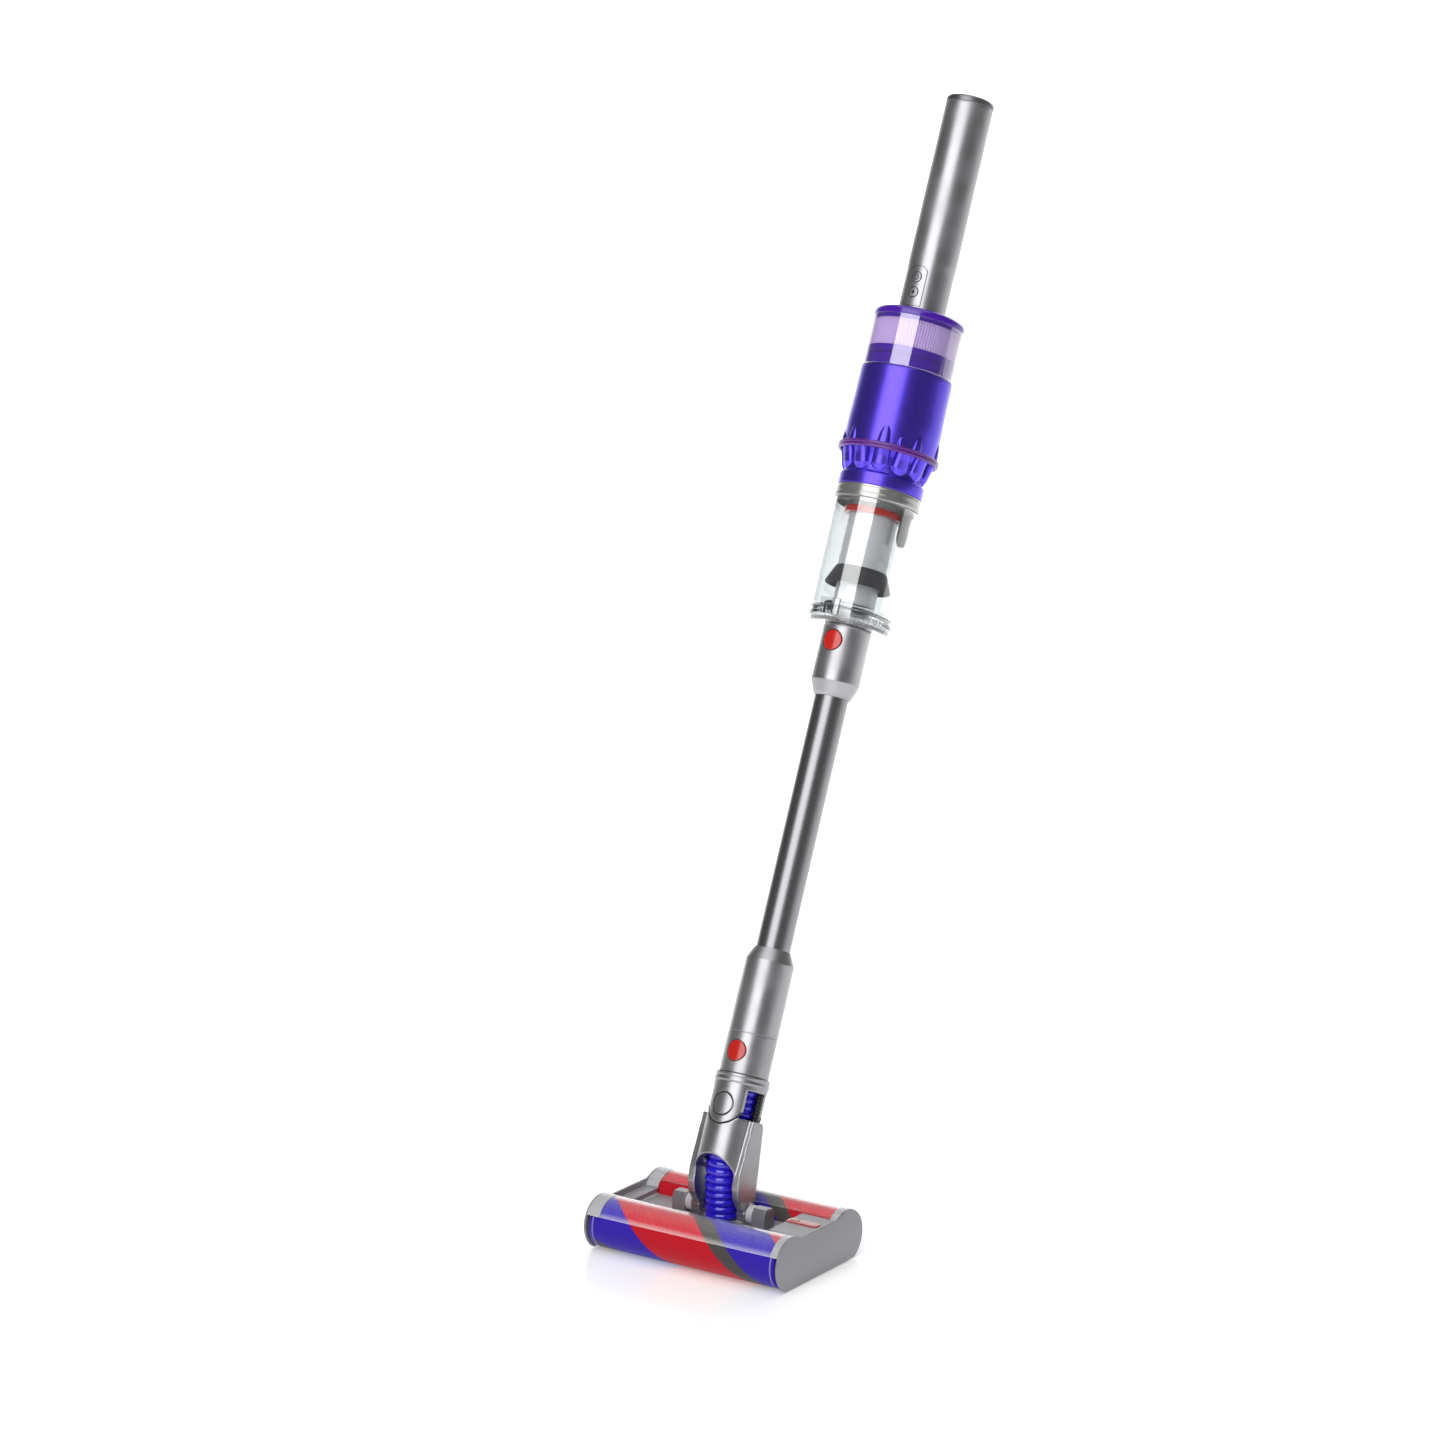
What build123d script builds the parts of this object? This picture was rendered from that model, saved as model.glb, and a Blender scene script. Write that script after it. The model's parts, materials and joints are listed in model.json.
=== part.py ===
"""Cordless stick vacuum with a twin-roller head, in millimetres.

+Z is up and -Y is forward. +X is to the right of someone who stands in front and looks at the machine.
The origin is the centre of the whole machine's outline, on the floor. The stick leans back.
"""

from build123d import *
from math import cos, radians, sin
import os

os.makedirs("parts", exist_ok=True)

# Head: two soft rollers side by side, between two end plates
HEAD_WIDTH = 208
HEAD_DEPTH = 137.8
END_PLATE = 2
PLUSH_R = 23
CORE_R = 19
CORE_BORE_R = 16.5
GROUND_GAP = 0.3
COVER_IN_R = PLUSH_R + 0.5
COVER_OUT_R = COVER_IN_R + 1.2
COVER_START = 29   # degrees above the horizontal, on each cover's outer side
COVER_STOP = 125
BAND_STOP = 150
BAND_LEFT = 13
BAND_RIGHT = 7
ROLLER_Y = HEAD_DEPTH / 2 - COVER_OUT_R
ROLLER_Z = PLUSH_R + GROUND_GAP
FRAME_X = HEAD_WIDTH / 2 - END_PLATE
FRAME_LOW = 4
SOLE_LOW = 1.8
SCREW_R = 1.5
SCREW_PLACES = [(x, y) for x in (-98.5, -52, 52, 98.5) for y in (-10, 10)]
FRAME_TOP = 33
SADDLE_TOP = 38
DECK_TOP = 43
DECK_INNER_X = 66
RUN = 0.05         # radial clearance of a shaft in its bore
GAP = 0.4          # clearance between pieces that move past each other

# Castors
CASTOR_X = 80
CASTOR_Y = 12
CASTOR_R = 4.8
CASTOR_TRAIL = 3
CASTOR_WELL_R = 8.8
CASTOR_STEM_R = 2.4

# Joint between head and stick
PIVOT_Z = 42.5
RECLINE = radians(23.65)
AXIS_OFFSET = 16.4   # the stick's axis runs this far in front of the pivot
PIN_R = 4
ARM_IN_X = 20
ARM_OUT_X = 27.5
YOKE_R = 24.3
YOKE_BORE_R = 17.8
YOKE_TOP = 79.5
ARCH_L = 22.5
ARCH_HALF = 22.3
SWING_L = 89.3
SWING_LIMIT = 35
TONGUE_R = 17.3
TONGUE_IN_R = 21.3
EAR_R = 13
HOSE_R = 16.2
HOSE_WALL = 1.8
HOSE_SEAM = 84
NECK_LOW = 105
SPIGOT_R = 17.8

# Stations along the stick, from the foot of the pivot, and the radii there
NECK_TOP = 117.8
LOWER_TOP = 233.6
CONNECTOR_R = 22.3
TUBE_R = 15.6
UPPER_LOW = 466.5
UPPER_TOP = 530.5
LOWER_BUTTON_L = 137.7
UPPER_BUTTON_L = 516
RED_BUTTON_R = 9.4
BIN_LOW = 531.5
BIN_SEAM = 544
COLLAR_LOW = 641
BAND_LOW = 664.6
BIN_R = 38.8
BODY_R = 42.6
BODY_TOP = 780.6
FILTER_SEAM = 794
FILTER_TOP = 826
FILTER_R = 42
FILTER_BORE_R = 24.6
DOCK_R = 24.1
HANDLE_R = 22.1
PANEL_R = 21.7
HANDLE_LOW = 796
HANDLE_SEAM = 1026.6
HANDLE_TOP = 1033
HANDLE_EDGE = 2
PANEL_LOW = 830.5
PANEL_TOP = 868
GRIP_LOW = 871
PANEL_HALF = 9
POWER_L = 857.3
BOOST_L = 843
SMALL_BUTTON_R = 4.7
SOCKET_R = 2.75
SOCKET_DEPTH = 9

# The origin is under the middle of the whole outline, so the head stands forward of it
back_of_handle = (
    -AXIS_OFFSET * cos(RECLINE)
    + (HANDLE_TOP - HANDLE_EDGE) * sin(RECLINE)
    + (HANDLE_R - HANDLE_EDGE) * cos(RECLINE)
    + HANDLE_EDGE
)
HEAD_Y = (HEAD_DEPTH / 2 - back_of_handle) / 2

forward = Vector(0, -cos(RECLINE), sin(RECLINE))
along = Vector(0, sin(RECLINE), cos(RECLINE))
pivot = Vector(0, HEAD_Y, PIVOT_Z)
foot = pivot + forward * AXIS_OFFSET
stick = Plane(origin=foot, x_dir=(1, 0, 0), z_dir=along)
axial = Plane(origin=foot, x_dir=(1, 0, 0), z_dir=forward)
stick_axis = Axis(foot, along)
swing_axis = Axis(foot + along * SWING_L, forward)
side = Plane(origin=(0, HEAD_Y, 0), x_dir=(0, 1, 0), z_dir=(1, 0, 0))
floor = Plane(origin=(0, HEAD_Y, 0))


def export(piece, name):
    piece.part.label = name
    export_step(piece.part, f"parts/{name}.step")


def facing(station, x=0):
    """A plane across the stick's radius at a station, looking forward."""
    return Plane(origin=foot + along * station + Vector(x, 0, 0), x_dir=(1, 0, 0), z_dir=forward)


def turned(*outline, mode=Mode.ADD):
    """Adds a turned solid from its closed outline of (radius, station) points."""
    with BuildSketch(axial) as profile:
        with BuildLine():
            Polyline(*outline, close=True)
        make_face()
    revolve(profile.sketch, axis=stick_axis, mode=mode)


def ring(outer, inner, low, high, mode=Mode.ADD):
    turned((inner, low), (outer, low), (outer, high), (inner, high), mode=mode)


def disc(radius, low, high, mode=Mode.ADD):
    turned((0, low), (radius, low), (radius, high), (0, high), mode=mode)


def forward_cylinder(radius, station, near, far, mode=Mode.ADD, x=0):
    """A round bar pointing forward, between two distances from the stick's axis."""
    with BuildSketch(facing(station, x).offset(near)) as section:
        Circle(radius)
    extrude(section.sketch, amount=far - near, mode=mode)


def cross_bar(radius, x_low, x_high, y, z, mode=Mode.ADD):
    """A round bar along X in the head's own frame."""
    with BuildSketch(side.offset(x_low)) as section:
        with Locations((y, z)):
            Circle(radius)
    extrude(section.sketch, amount=x_high - x_low, mode=mode)


def between_rollers(low, high, clear_r):
    """The head's cross-section between its two rollers, from one height to another."""
    with BuildSketch() as section:
        with Locations((0, (low + high) / 2)):
            Rectangle(2 * ROLLER_Y, high - low)
        with Locations((ROLLER_Y, ROLLER_Z), (-ROLLER_Y, ROLLER_Z)):
            Circle(clear_r, mode=Mode.SUBTRACT)
        with Locations((ROLLER_Y, low), (-ROLLER_Y, low)):
            Rectangle(2 * (ROLLER_Y - 29), 12, mode=Mode.SUBTRACT)
    middle = section.sketch.faces().sort_by(Axis.X)
    return middle[len(middle) // 2]


def along_x(face, x_low, x_high, mode=Mode.ADD):
    """Extrudes a face drawn in the head's side view from one X to another."""
    extrude(side.offset(x_low) * face, amount=x_high - x_low, dir=(1, 0, 0), mode=mode)


# ---- Head frame, sole and end plates
with BuildPart() as bay_bosses:
    with BuildSketch(floor.offset(FRAME_LOW)):
        with Locations(*[(x, y) for x in (-CASTOR_X, CASTOR_X) for y in (-CASTOR_Y, CASTOR_Y)]):
            Circle(CASTOR_WELL_R + 1.8)
    extrude(amount=18)

with BuildPart() as bays:
    with BuildSketch(floor.offset(FRAME_LOW)):
        with Locations((-75, 0), (75, 0)):
            Rectangle(42, 36)
    extrude(amount=25)
    add(bay_bosses.part, mode=Mode.SUBTRACT)

with BuildPart() as screw_holes:
    with BuildSketch(floor.offset(SOLE_LOW)):
        with Locations(*SCREW_PLACES):
            Circle(SCREW_R)
    extrude(amount=12)

with BuildPart() as head_frame:
    along_x(between_rollers(FRAME_LOW, FRAME_TOP, PLUSH_R + 0.7), -FRAME_X, FRAME_X)
    along_x(between_rollers(FRAME_TOP, SADDLE_TOP, COVER_OUT_R + 0.3), -FRAME_X, 15 - FRAME_X)
    along_x(between_rollers(FRAME_TOP, DECK_TOP, COVER_OUT_R + 0.3), DECK_INNER_X, FRAME_X)
    add(bays.part, mode=Mode.SUBTRACT)
    with BuildSketch(floor.offset(FRAME_TOP)):
        Circle(HOSE_R + 2.2)
    extrude(amount=1.6)
    with BuildSketch(floor.offset(FRAME_LOW)):
        Rectangle(100, 34)
    extrude(amount=25, mode=Mode.SUBTRACT)
    with BuildSketch(floor.offset(FRAME_LOW)):
        Circle(HOSE_R - HOSE_WALL)
    extrude(amount=FRAME_TOP, mode=Mode.SUBTRACT)
    with BuildSketch(floor.offset(FRAME_LOW)):
        with Locations(*[(x, y) for x in (-CASTOR_X, CASTOR_X) for y in (-CASTOR_Y, CASTOR_Y)]):
            Circle(CASTOR_WELL_R)
    extrude(amount=9.6, mode=Mode.SUBTRACT)
    with BuildSketch(floor.offset(FRAME_LOW)):
        with Locations(*[(x, y) for x in (-CASTOR_X, CASTOR_X) for y in (-CASTOR_Y, CASTOR_Y)]):
            Circle(CASTOR_STEM_R + RUN)
    extrude(amount=15.6, mode=Mode.SUBTRACT)
    add(screw_holes.part, mode=Mode.SUBTRACT)
export(head_frame, "head_frame")

with BuildPart() as sole_plate:
    along_x(between_rollers(SOLE_LOW, FRAME_LOW, PLUSH_R + 0.7), -FRAME_X, FRAME_X)
    with BuildSketch(floor):
        Rectangle(100, 34)
        with Locations(*[(x, y) for x in (-CASTOR_X, CASTOR_X) for y in (-CASTOR_Y, CASTOR_Y)]):
            Circle(CASTOR_WELL_R)
    extrude(amount=FRAME_LOW, mode=Mode.SUBTRACT)
    add(screw_holes.part, mode=Mode.SUBTRACT)
export(sole_plate, "sole_plate")

with BuildSketch() as plate_outline:
    with Locations((ROLLER_Y, ROLLER_Z), (-ROLLER_Y, ROLLER_Z)):
        Circle(COVER_OUT_R)
    with Locations((0, DECK_TOP / 2)):
        Rectangle(2 * ROLLER_Y, DECK_TOP)
    with Locations((0, -10)):
        Rectangle(HEAD_DEPTH, 22, mode=Mode.SUBTRACT)
    inner_corners = [v for v in plate_outline.vertices() if abs(v.Y - DECK_TOP) < 0.1]
    fillet(inner_corners, 14)

with BuildPart() as left_end_plate:
    along_x(plate_outline.sketch, -HEAD_WIDTH / 2, -FRAME_X)
    fillet(left_end_plate.faces().sort_by(Axis.X)[0].edges(), 0.8)
export(left_end_plate, "left_end_plate")

with BuildPart() as right_end_plate:
    along_x(plate_outline.sketch, FRAME_X, HEAD_WIDTH / 2)
    fillet(right_end_plate.faces().sort_by(Axis.X)[-1].edges(), 0.8)
    for y in (-ROLLER_Y, ROLLER_Y):
        cross_bar(PIN_R, 88, FRAME_X, y, ROLLER_Z)
export(right_end_plate, "right_end_plate")


# ---- Clear covers over the rollers, and the frosted bands at their ends
def cover_arc(start, stop, front):
    """The cover's cross-section: an arc over one roller, drawn in the head's side view."""
    sense = -1 if front else 1
    first, middle, last = radians(start), radians((start + stop) / 2), radians(stop)

    def at(radius, angle):
        return (sense * (ROLLER_Y + radius * cos(angle)), ROLLER_Z + radius * sin(angle))

    with BuildSketch() as section:
        with BuildLine():
            for radius in (COVER_OUT_R, COVER_IN_R):
                ThreePointArc(at(radius, first), at(radius, middle), at(radius, last))
            for lip in (first, last):
                Line(at(COVER_OUT_R, lip), at(COVER_IN_R, lip))
        make_face()
    return section.sketch.face()


with BuildPart() as front_cover:
    along_x(cover_arc(COVER_START, COVER_STOP, front=True), BAND_LEFT - FRAME_X, FRAME_X - BAND_RIGHT)
export(front_cover, "front_cover")

with BuildPart() as rear_cover:
    along_x(cover_arc(COVER_START, COVER_STOP, front=False), BAND_LEFT - FRAME_X, FRAME_X - BAND_RIGHT)
export(rear_cover, "rear_cover")

with BuildPart() as cover_end_bands:
    for front in (True, False):
        band = cover_arc(COVER_START, BAND_STOP, front)
        along_x(band, -FRAME_X, BAND_LEFT - FRAME_X)
        along_x(band, FRAME_X - BAND_RIGHT, FRAME_X)
export(cover_end_bands, "cover_end_bands")

# ---- Latch that frees the right-hand end plate, so that the rollers slide out
LATCH_Y = 5
with BuildPart() as end_cap_latch:
    with BuildSketch(floor.offset(DECK_TOP + 0.1)):
        with Locations((DECK_INNER_X + 17, LATCH_Y)):
            RectangleRounded(31, 8, 3.6)
    extrude(amount=1.1)
    with BuildSketch(floor.offset(DECK_TOP + 1.2)):
        with Locations((DECK_INNER_X + 8, LATCH_Y)):
            SlotOverall(9, 5)
    extrude(amount=0.8)
export(end_cap_latch, "end_cap_latch")

# ---- Rollers: a motor held from the left inside each core, a pin from the right
with BuildPart() as drive_motors:
    for y in (-ROLLER_Y, ROLLER_Y):
        cross_bar(CORE_BORE_R - 1, -FRAME_X, -20, y, ROLLER_Z)
        cross_bar(3, -20, -7, y, ROLLER_Z)
export(drive_motors, "drive_motors")

ROLLER_X = FRAME_X - 2.5
for place, y in (("front", -ROLLER_Y), ("rear", ROLLER_Y)):
    with BuildPart() as roller_core:
        cross_bar(CORE_R, -ROLLER_X, ROLLER_X, y, ROLLER_Z)
        cross_bar(CORE_BORE_R, -ROLLER_X, -16, y, ROLLER_Z, mode=Mode.SUBTRACT)
        cross_bar(CORE_BORE_R, -8, 86, y, ROLLER_Z, mode=Mode.SUBTRACT)
        cross_bar(3 + RUN, -16, -6, y, ROLLER_Z, mode=Mode.SUBTRACT)
        cross_bar(PIN_R + RUN, 86, ROLLER_X, y, ROLLER_Z, mode=Mode.SUBTRACT)
    export(roller_core, f"{place}_roller_core")

    with BuildPart() as roller_plush:
        cross_bar(PLUSH_R, -ROLLER_X, ROLLER_X, y, ROLLER_Z)
        cross_bar(CORE_R, -ROLLER_X, ROLLER_X, y, ROLLER_Z, mode=Mode.SUBTRACT)
    export(roller_plush, f"{place}_roller_plush")

# ---- Castors: a fork that swivels under the frame, and a wheel trailing in it
for place, x, y in (
    ("front_left", -CASTOR_X, -CASTOR_Y),
    ("front_right", CASTOR_X, -CASTOR_Y),
    ("rear_left", -CASTOR_X, CASTOR_Y),
    ("rear_right", CASTOR_X, CASTOR_Y),
):
    hub = Plane(origin=(x, HEAD_Y + y + CASTOR_TRAIL, CASTOR_R), x_dir=(0, 1, 0), z_dir=(1, 0, 0))
    swivel = floor.offset(11)
    with BuildPart() as castor_fork:
        with BuildSketch(swivel):
            with Locations((x, y + CASTOR_TRAIL / 2)):
                RectangleRounded(9, 7, 2)
        extrude(amount=2)
        with BuildSketch(swivel):
            with Locations((x - 3.9, y + CASTOR_TRAIL), (x + 3.9, y + CASTOR_TRAIL)):
                Rectangle(1.2, 3.8)
        extrude(amount=3 - 11)
        with BuildSketch(swivel):
            with Locations((x, y)):
                Circle(CASTOR_STEM_R)
        extrude(amount=8)
        with BuildSketch(hub.offset(-4.5)):
            Circle(1)
        extrude(amount=9)
    export(castor_fork, f"castor_fork_{place}")

    with BuildPart() as castor_wheel:
        with BuildSketch(hub.offset(-3)):
            Circle(CASTOR_R)
            Circle(1 + RUN, mode=Mode.SUBTRACT)
        extrude(amount=6)
        chamfer(castor_wheel.edges().filter_by(GeomType.CIRCLE).sort_by(SortBy.RADIUS)[-2:], 0.8)
    export(castor_wheel, f"castor_wheel_{place}")

# ---- Trunnions: two blocks on the frame carry the yoke's pins
BLOCK_IN_X, BLOCK_OUT_X = 36, 50
with BuildPart() as trunnion_blocks:
    for x_low, x_high in ((-BLOCK_OUT_X, -BLOCK_IN_X), (BLOCK_IN_X, BLOCK_OUT_X)):
        with BuildSketch(side.offset(x_low)) as block:
            with Locations((0, (FRAME_TOP + PIVOT_Z + 8.5) / 2)):
                Rectangle(17, PIVOT_Z + 8.5 - FRAME_TOP)
            fillet(block.vertices().group_by(Axis.Y)[-1], 4)
        extrude(amount=x_high - x_low)
        cross_bar(PIN_R + RUN, x_low, x_high, 0, PIVOT_Z, mode=Mode.SUBTRACT)
export(trunnion_blocks, "trunnion_blocks")

with BuildPart() as trunnion_bushes:
    for x_low, x_high in ((-BLOCK_IN_X, 6.6 - BLOCK_IN_X), (BLOCK_IN_X - 6.6, BLOCK_IN_X)):
        cross_bar(8.3, x_low, x_high, 0, PIVOT_Z)
        cross_bar(PIN_R + RUN, x_low, x_high, 0, PIVOT_Z, mode=Mode.SUBTRACT)
export(trunnion_bushes, "trunnion_bushes")

with BuildPart() as head_screws:
    with BuildSketch(floor.offset(SOLE_LOW)):
        with Locations(*SCREW_PLACES):
            Circle(SCREW_R)
    extrude(amount=12)
export(head_screws, "head_screws")

# ---- Yoke: two arms on the trunnions rise into a collar round the hose
with BuildPart() as tongue_seat:
    ring(YOKE_R + 9, TONGUE_IN_R - 0.3, SWING_L - 25, SWING_L + 25)
    with BuildSketch(axial) as seat:
        with Locations((0, SWING_L)):
            Circle(TONGUE_R + GAP)
    extrude(seat.sketch, amount=50, both=True, mode=Mode.INTERSECT)

with BuildPart() as yoke:
    ring(YOKE_R, YOKE_BORE_R, 18, SWING_L + EAR_R + 1)
    # an arch at the front and back shows the hose
    with BuildSketch(axial) as arch:
        Rectangle(2 * ARCH_HALF, 2 * ARCH_L)
        with Locations((0, ARCH_L)):
            Ellipse(ARCH_HALF, 21)
    extrude(arch.sketch, amount=60, both=True, mode=Mode.SUBTRACT)
    for x in (-ARM_OUT_X, ARM_IN_X):
        with BuildSketch(Plane(origin=foot + Vector(x, 0, 0), x_dir=-forward, z_dir=(1, 0, 0))) as arm:
            with BuildLine():
                Polyline((-9, YOKE_TOP), (7, YOKE_TOP), (9.5, YOKE_TOP - 4), (18.5, 34), (AXIS_OFFSET + 8.4, 3),
                         (AXIS_OFFSET - 8.4, 0), (-3, 7), (-9, 17), (-11, 30), close=True)
            make_face()
            with Locations((AXIS_OFFSET, 0)):
                Circle(8.6)
        extrude(arm.sketch, amount=ARM_OUT_X - ARM_IN_X)
    for x_low, x_high in ((-ARM_OUT_X - 1.6, -ARM_OUT_X), (ARM_OUT_X, ARM_OUT_X + 1.6)):
        cross_bar(8.3, x_low, x_high, 0, PIVOT_Z)
    # the collar stops at the shoulders, except for two ears that hold the swing pins
    with BuildSketch(axial) as above:
        with Locations((0, YOKE_TOP + 20)):
            Rectangle(80, 40)
        with Locations((0, SWING_L)):
            Circle(EAR_R, mode=Mode.SUBTRACT)
        with Locations((0, YOKE_TOP)):
            Rectangle(2 * EAR_R, 2 * (SWING_L - YOKE_TOP), mode=Mode.SUBTRACT)
    extrude(above.sketch, amount=50, both=True, mode=Mode.SUBTRACT)
    # the seats leave room for the curved tongues all the way through their swing
    for swing in range(-SWING_LIMIT, SWING_LIMIT + 1, SWING_LIMIT // 5):
        add(tongue_seat.part.rotate(swing_axis, swing), mode=Mode.SUBTRACT)
    cross_bar(PIN_R, -40, 40, 0, PIVOT_Z, mode=Mode.SUBTRACT)
    forward_cylinder(PIN_R, SWING_L, -30, 30, mode=Mode.SUBTRACT)
export(yoke, "yoke")

with BuildPart() as yoke_pins:
    for x_low, x_high in ((1 - BLOCK_OUT_X, -ARM_IN_X), (ARM_IN_X, BLOCK_OUT_X - 1)):
        cross_bar(PIN_R, x_low, x_high, 0, PIVOT_Z)
    for near, far in ((YOKE_BORE_R, 22.4), (-22.4, -YOKE_BORE_R)):
        forward_cylinder(PIN_R, SWING_L, near, far)
export(yoke_pins, "yoke_pins")

# ---- Hose: upright out of the head, then along the stick
bend = foot + along * (AXIS_OFFSET * cos(RECLINE) / sin(RECLINE))
with BuildPart() as hose_lower:
    with BuildLine() as hose_path:
        FilletPolyline((0, HEAD_Y, FRAME_TOP + 1.8), bend, foot + along * HOSE_SEAM, radius=95)
    with BuildSketch(floor.offset(FRAME_TOP + 1.8)) as hose_section:
        Circle(HOSE_R)
        Circle(HOSE_R - HOSE_WALL, mode=Mode.SUBTRACT)
    sweep(hose_section.sketch, path=hose_path.line)
export(hose_lower, "hose_lower")

with BuildPart() as hose_upper:
    ring(HOSE_R, HOSE_R - HOSE_WALL, HOSE_SEAM, 111.8)
export(hose_upper, "hose_upper")

with BuildPart() as power_conduit:
    with BuildSketch(stick.offset(YOKE_TOP + 0.2)) as conduit:
        with Locations(*[(19.6 * sin(radians(a)), 19.6 * cos(radians(a))) for a in (60, 77)]):
            Circle(2.5)
    extrude(conduit.sketch, amount=NECK_LOW - YOKE_TOP - 0.4)
export(power_conduit, "power_conduit")

# ---- Neck: two tongues swing on the yoke's ears, under a plug for the wand
with BuildPart() as neck:
    ring(YOKE_R, TONGUE_IN_R, SWING_L - 20, NECK_LOW + 2)
    with BuildSketch(axial) as tongue:
        with Locations((0, SWING_L)):
            Circle(TONGUE_R)
        with Locations((0, (SWING_L + NECK_LOW + 2) / 2)):
            Rectangle(2 * TONGUE_R, NECK_LOW + 2 - SWING_L)
    extrude(tongue.sketch, amount=50, both=True, mode=Mode.INTERSECT)
    ring(YOKE_R, 17.2, NECK_LOW, NECK_TOP)
    ring(YOKE_R + 0.5, YOKE_R - 1, 110.8, 112.4)
    ring(YOKE_R + 0.3, YOKE_R - 1, 115.4, NECK_TOP)
    ring(SPIGOT_R, SPIGOT_R - 1.8, 112, 150)
    for near, far in ((22.6, 40), (-40, -22.6)):
        forward_cylinder(10.6, SWING_L, near, far, mode=Mode.SUBTRACT)
    forward_cylinder(PIN_R + RUN, SWING_L, -30, 30, mode=Mode.SUBTRACT)
export(neck, "neck")

with BuildPart() as knuckle_caps:
    disc(YOKE_R + 0.2, SWING_L - 12, SWING_L + 12)
    with BuildSketch(axial) as cap:
        with Locations((0, SWING_L)):
            Circle(10.3)
    extrude(cap.sketch, amount=50, both=True, mode=Mode.INTERSECT)
    with BuildSketch(facing(SWING_L).offset(-22.65)) as core:
        Circle(20)
    extrude(core.sketch, amount=2 * 22.65, mode=Mode.SUBTRACT)
export(knuckle_caps, "knuckle_caps")

# ---- Wand
BUTTON_INNER = 19.9
with BuildPart() as lower_connector:
    turned((18.9, NECK_TOP + 0.4), (22.5, NECK_TOP + 0.4), (22.2, 221.9), (16.6, LOWER_TOP),
           (TUBE_R, LOWER_TOP), (TUBE_R, 158), (18.9, 158))
    ring(24, 21.9, 154.6, 155.2, mode=Mode.SUBTRACT)
    forward_cylinder(RED_BUTTON_R + 0.35, LOWER_BUTTON_L, 10, 30, mode=Mode.SUBTRACT)
export(lower_connector, "lower_connector")

with BuildPart() as wand_tube:
    ring(TUBE_R, TUBE_R - 1.4, 160, 500)
export(wand_tube, "wand_tube")

with BuildPart() as upper_connector:
    turned((TUBE_R, UPPER_LOW), (16.4, UPPER_LOW), (18.1, 469.2), (22.2, 480.1), (22.1, UPPER_TOP),
           (17.4, UPPER_TOP), (17.4, 546), (15.9, 546), (15.9, 527.5), (18, 527.5), (18, 500), (TUBE_R, 500))
    forward_cylinder(RED_BUTTON_R + 0.35, UPPER_BUTTON_L, 10, 30, mode=Mode.SUBTRACT)
export(upper_connector, "upper_connector")

for name, station in (("lower_release_button", LOWER_BUTTON_L), ("upper_release_button", UPPER_BUTTON_L)):
    with BuildPart() as release_button:
        disc(CONNECTOR_R + 0.6, station - 12, station + 12)
        with BuildSketch(facing(station).offset(BUTTON_INNER)) as face:
            Circle(RED_BUTTON_R)
        extrude(face.sketch, amount=10, mode=Mode.INTERSECT)
    export(release_button, name)

# ---- Dust bin
with BuildPart() as bin_base:
    turned((17.8, BIN_LOW), (33, BIN_LOW), (35.2, 533), (37.6, 537), (38.5, BIN_SEAM), (36.4, BIN_SEAM),
           (36, 540), (33, 536), (19.4, 534.5), (19.4, 552), (17.8, 552))
export(bin_base, "bin_base")

with BuildPart() as bin_base_catch:
    ring(40.6, 38.75, 535, 552)
    with BuildSketch(axial) as catch:
        with Locations((0, 543.5)):
            Rectangle(20, 15)
    extrude(catch.sketch, amount=60, both=True, mode=Mode.INTERSECT)
export(bin_base_catch, "bin_base_catch")

with BuildPart() as bin_cup:
    turned((36.7, BIN_SEAM + 0.1), (38.5, BIN_SEAM + 0.1), (BIN_R, COLLAR_LOW - 0.1), (37, COLLAR_LOW - 0.1))
export(bin_cup, "bin_cup")

with BuildPart() as inlet_duct:
    ring(19.4, 17.8, 552.2, 640)
export(inlet_duct, "inlet_duct")

with BuildPart() as shroud:
    ring(22.4, 20.6, 576, 656)
    for station in (594, 610, 633):
        ring(22.8, 22, station, station + 1.6)
export(shroud, "shroud")

with BuildPart() as shroud_skirt:
    turned((22.4, 579), (22.4, 586), (23.4, 586), (30.4, 569.6), (29.2, 568.6))
export(shroud_skirt, "shroud_skirt")

with BuildPart() as shroud_seal:
    ring(27.6, 22.85, 634.8, 641)
export(shroud_seal, "shroud_seal")

with BuildPart() as bin_collar:
    turned((36.8, COLLAR_LOW), (39.4, COLLAR_LOW), (39.7, 643), (39.7, 646), (39.2, 647), (39.2, 656),
           (38.8, 657.5), (38.9, BAND_LOW - 0.1), (36.2, BAND_LOW - 0.1))
    ring(37, 22.4, 650, 654)
export(bin_collar, "bin_collar")

# ---- Cyclones and motor
CONE_ANGLES = [-7 + 30 * i for i in range(12)]
with BuildPart() as cyclone_body:
    turned((34, BAND_LOW), (39, BAND_LOW), (39.1, 673.5), (37.4, 675), (37.3, 677), (39, 683), (42.6, 692),
           (42.8, 699), (39.5, 699), (34, 684))
    for angle in CONE_ANGLES:
        a = radians(angle)
        with BuildSketch(stick.offset(681)) as cone:
            with Locations((36.8 * sin(a), -36.8 * cos(a))):
                Circle(4.4)
        extrude(cone.sketch, amount=15, taper=-7)
    disc(34, 660, 700, mode=Mode.SUBTRACT)
export(cyclone_body, "cyclone_body")

with BuildPart() as cyclone_flange:
    turned((43.9, 696.4), (45.3, 697.3), (45.3, 699.4), (43.9, 700.4))
export(cyclone_flange, "cyclone_flange")

with BuildPart() as motor_body:
    turned((39.6, 699.2), (43, 699.2), (43.3, 712), (BODY_R, 740), (42.4, BODY_TOP - 1), (41.8, BODY_TOP),
           (24.2, BODY_TOP), (24.2, BODY_TOP - 3), (39.6, BODY_TOP - 3))
export(motor_body, "motor_body")

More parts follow.
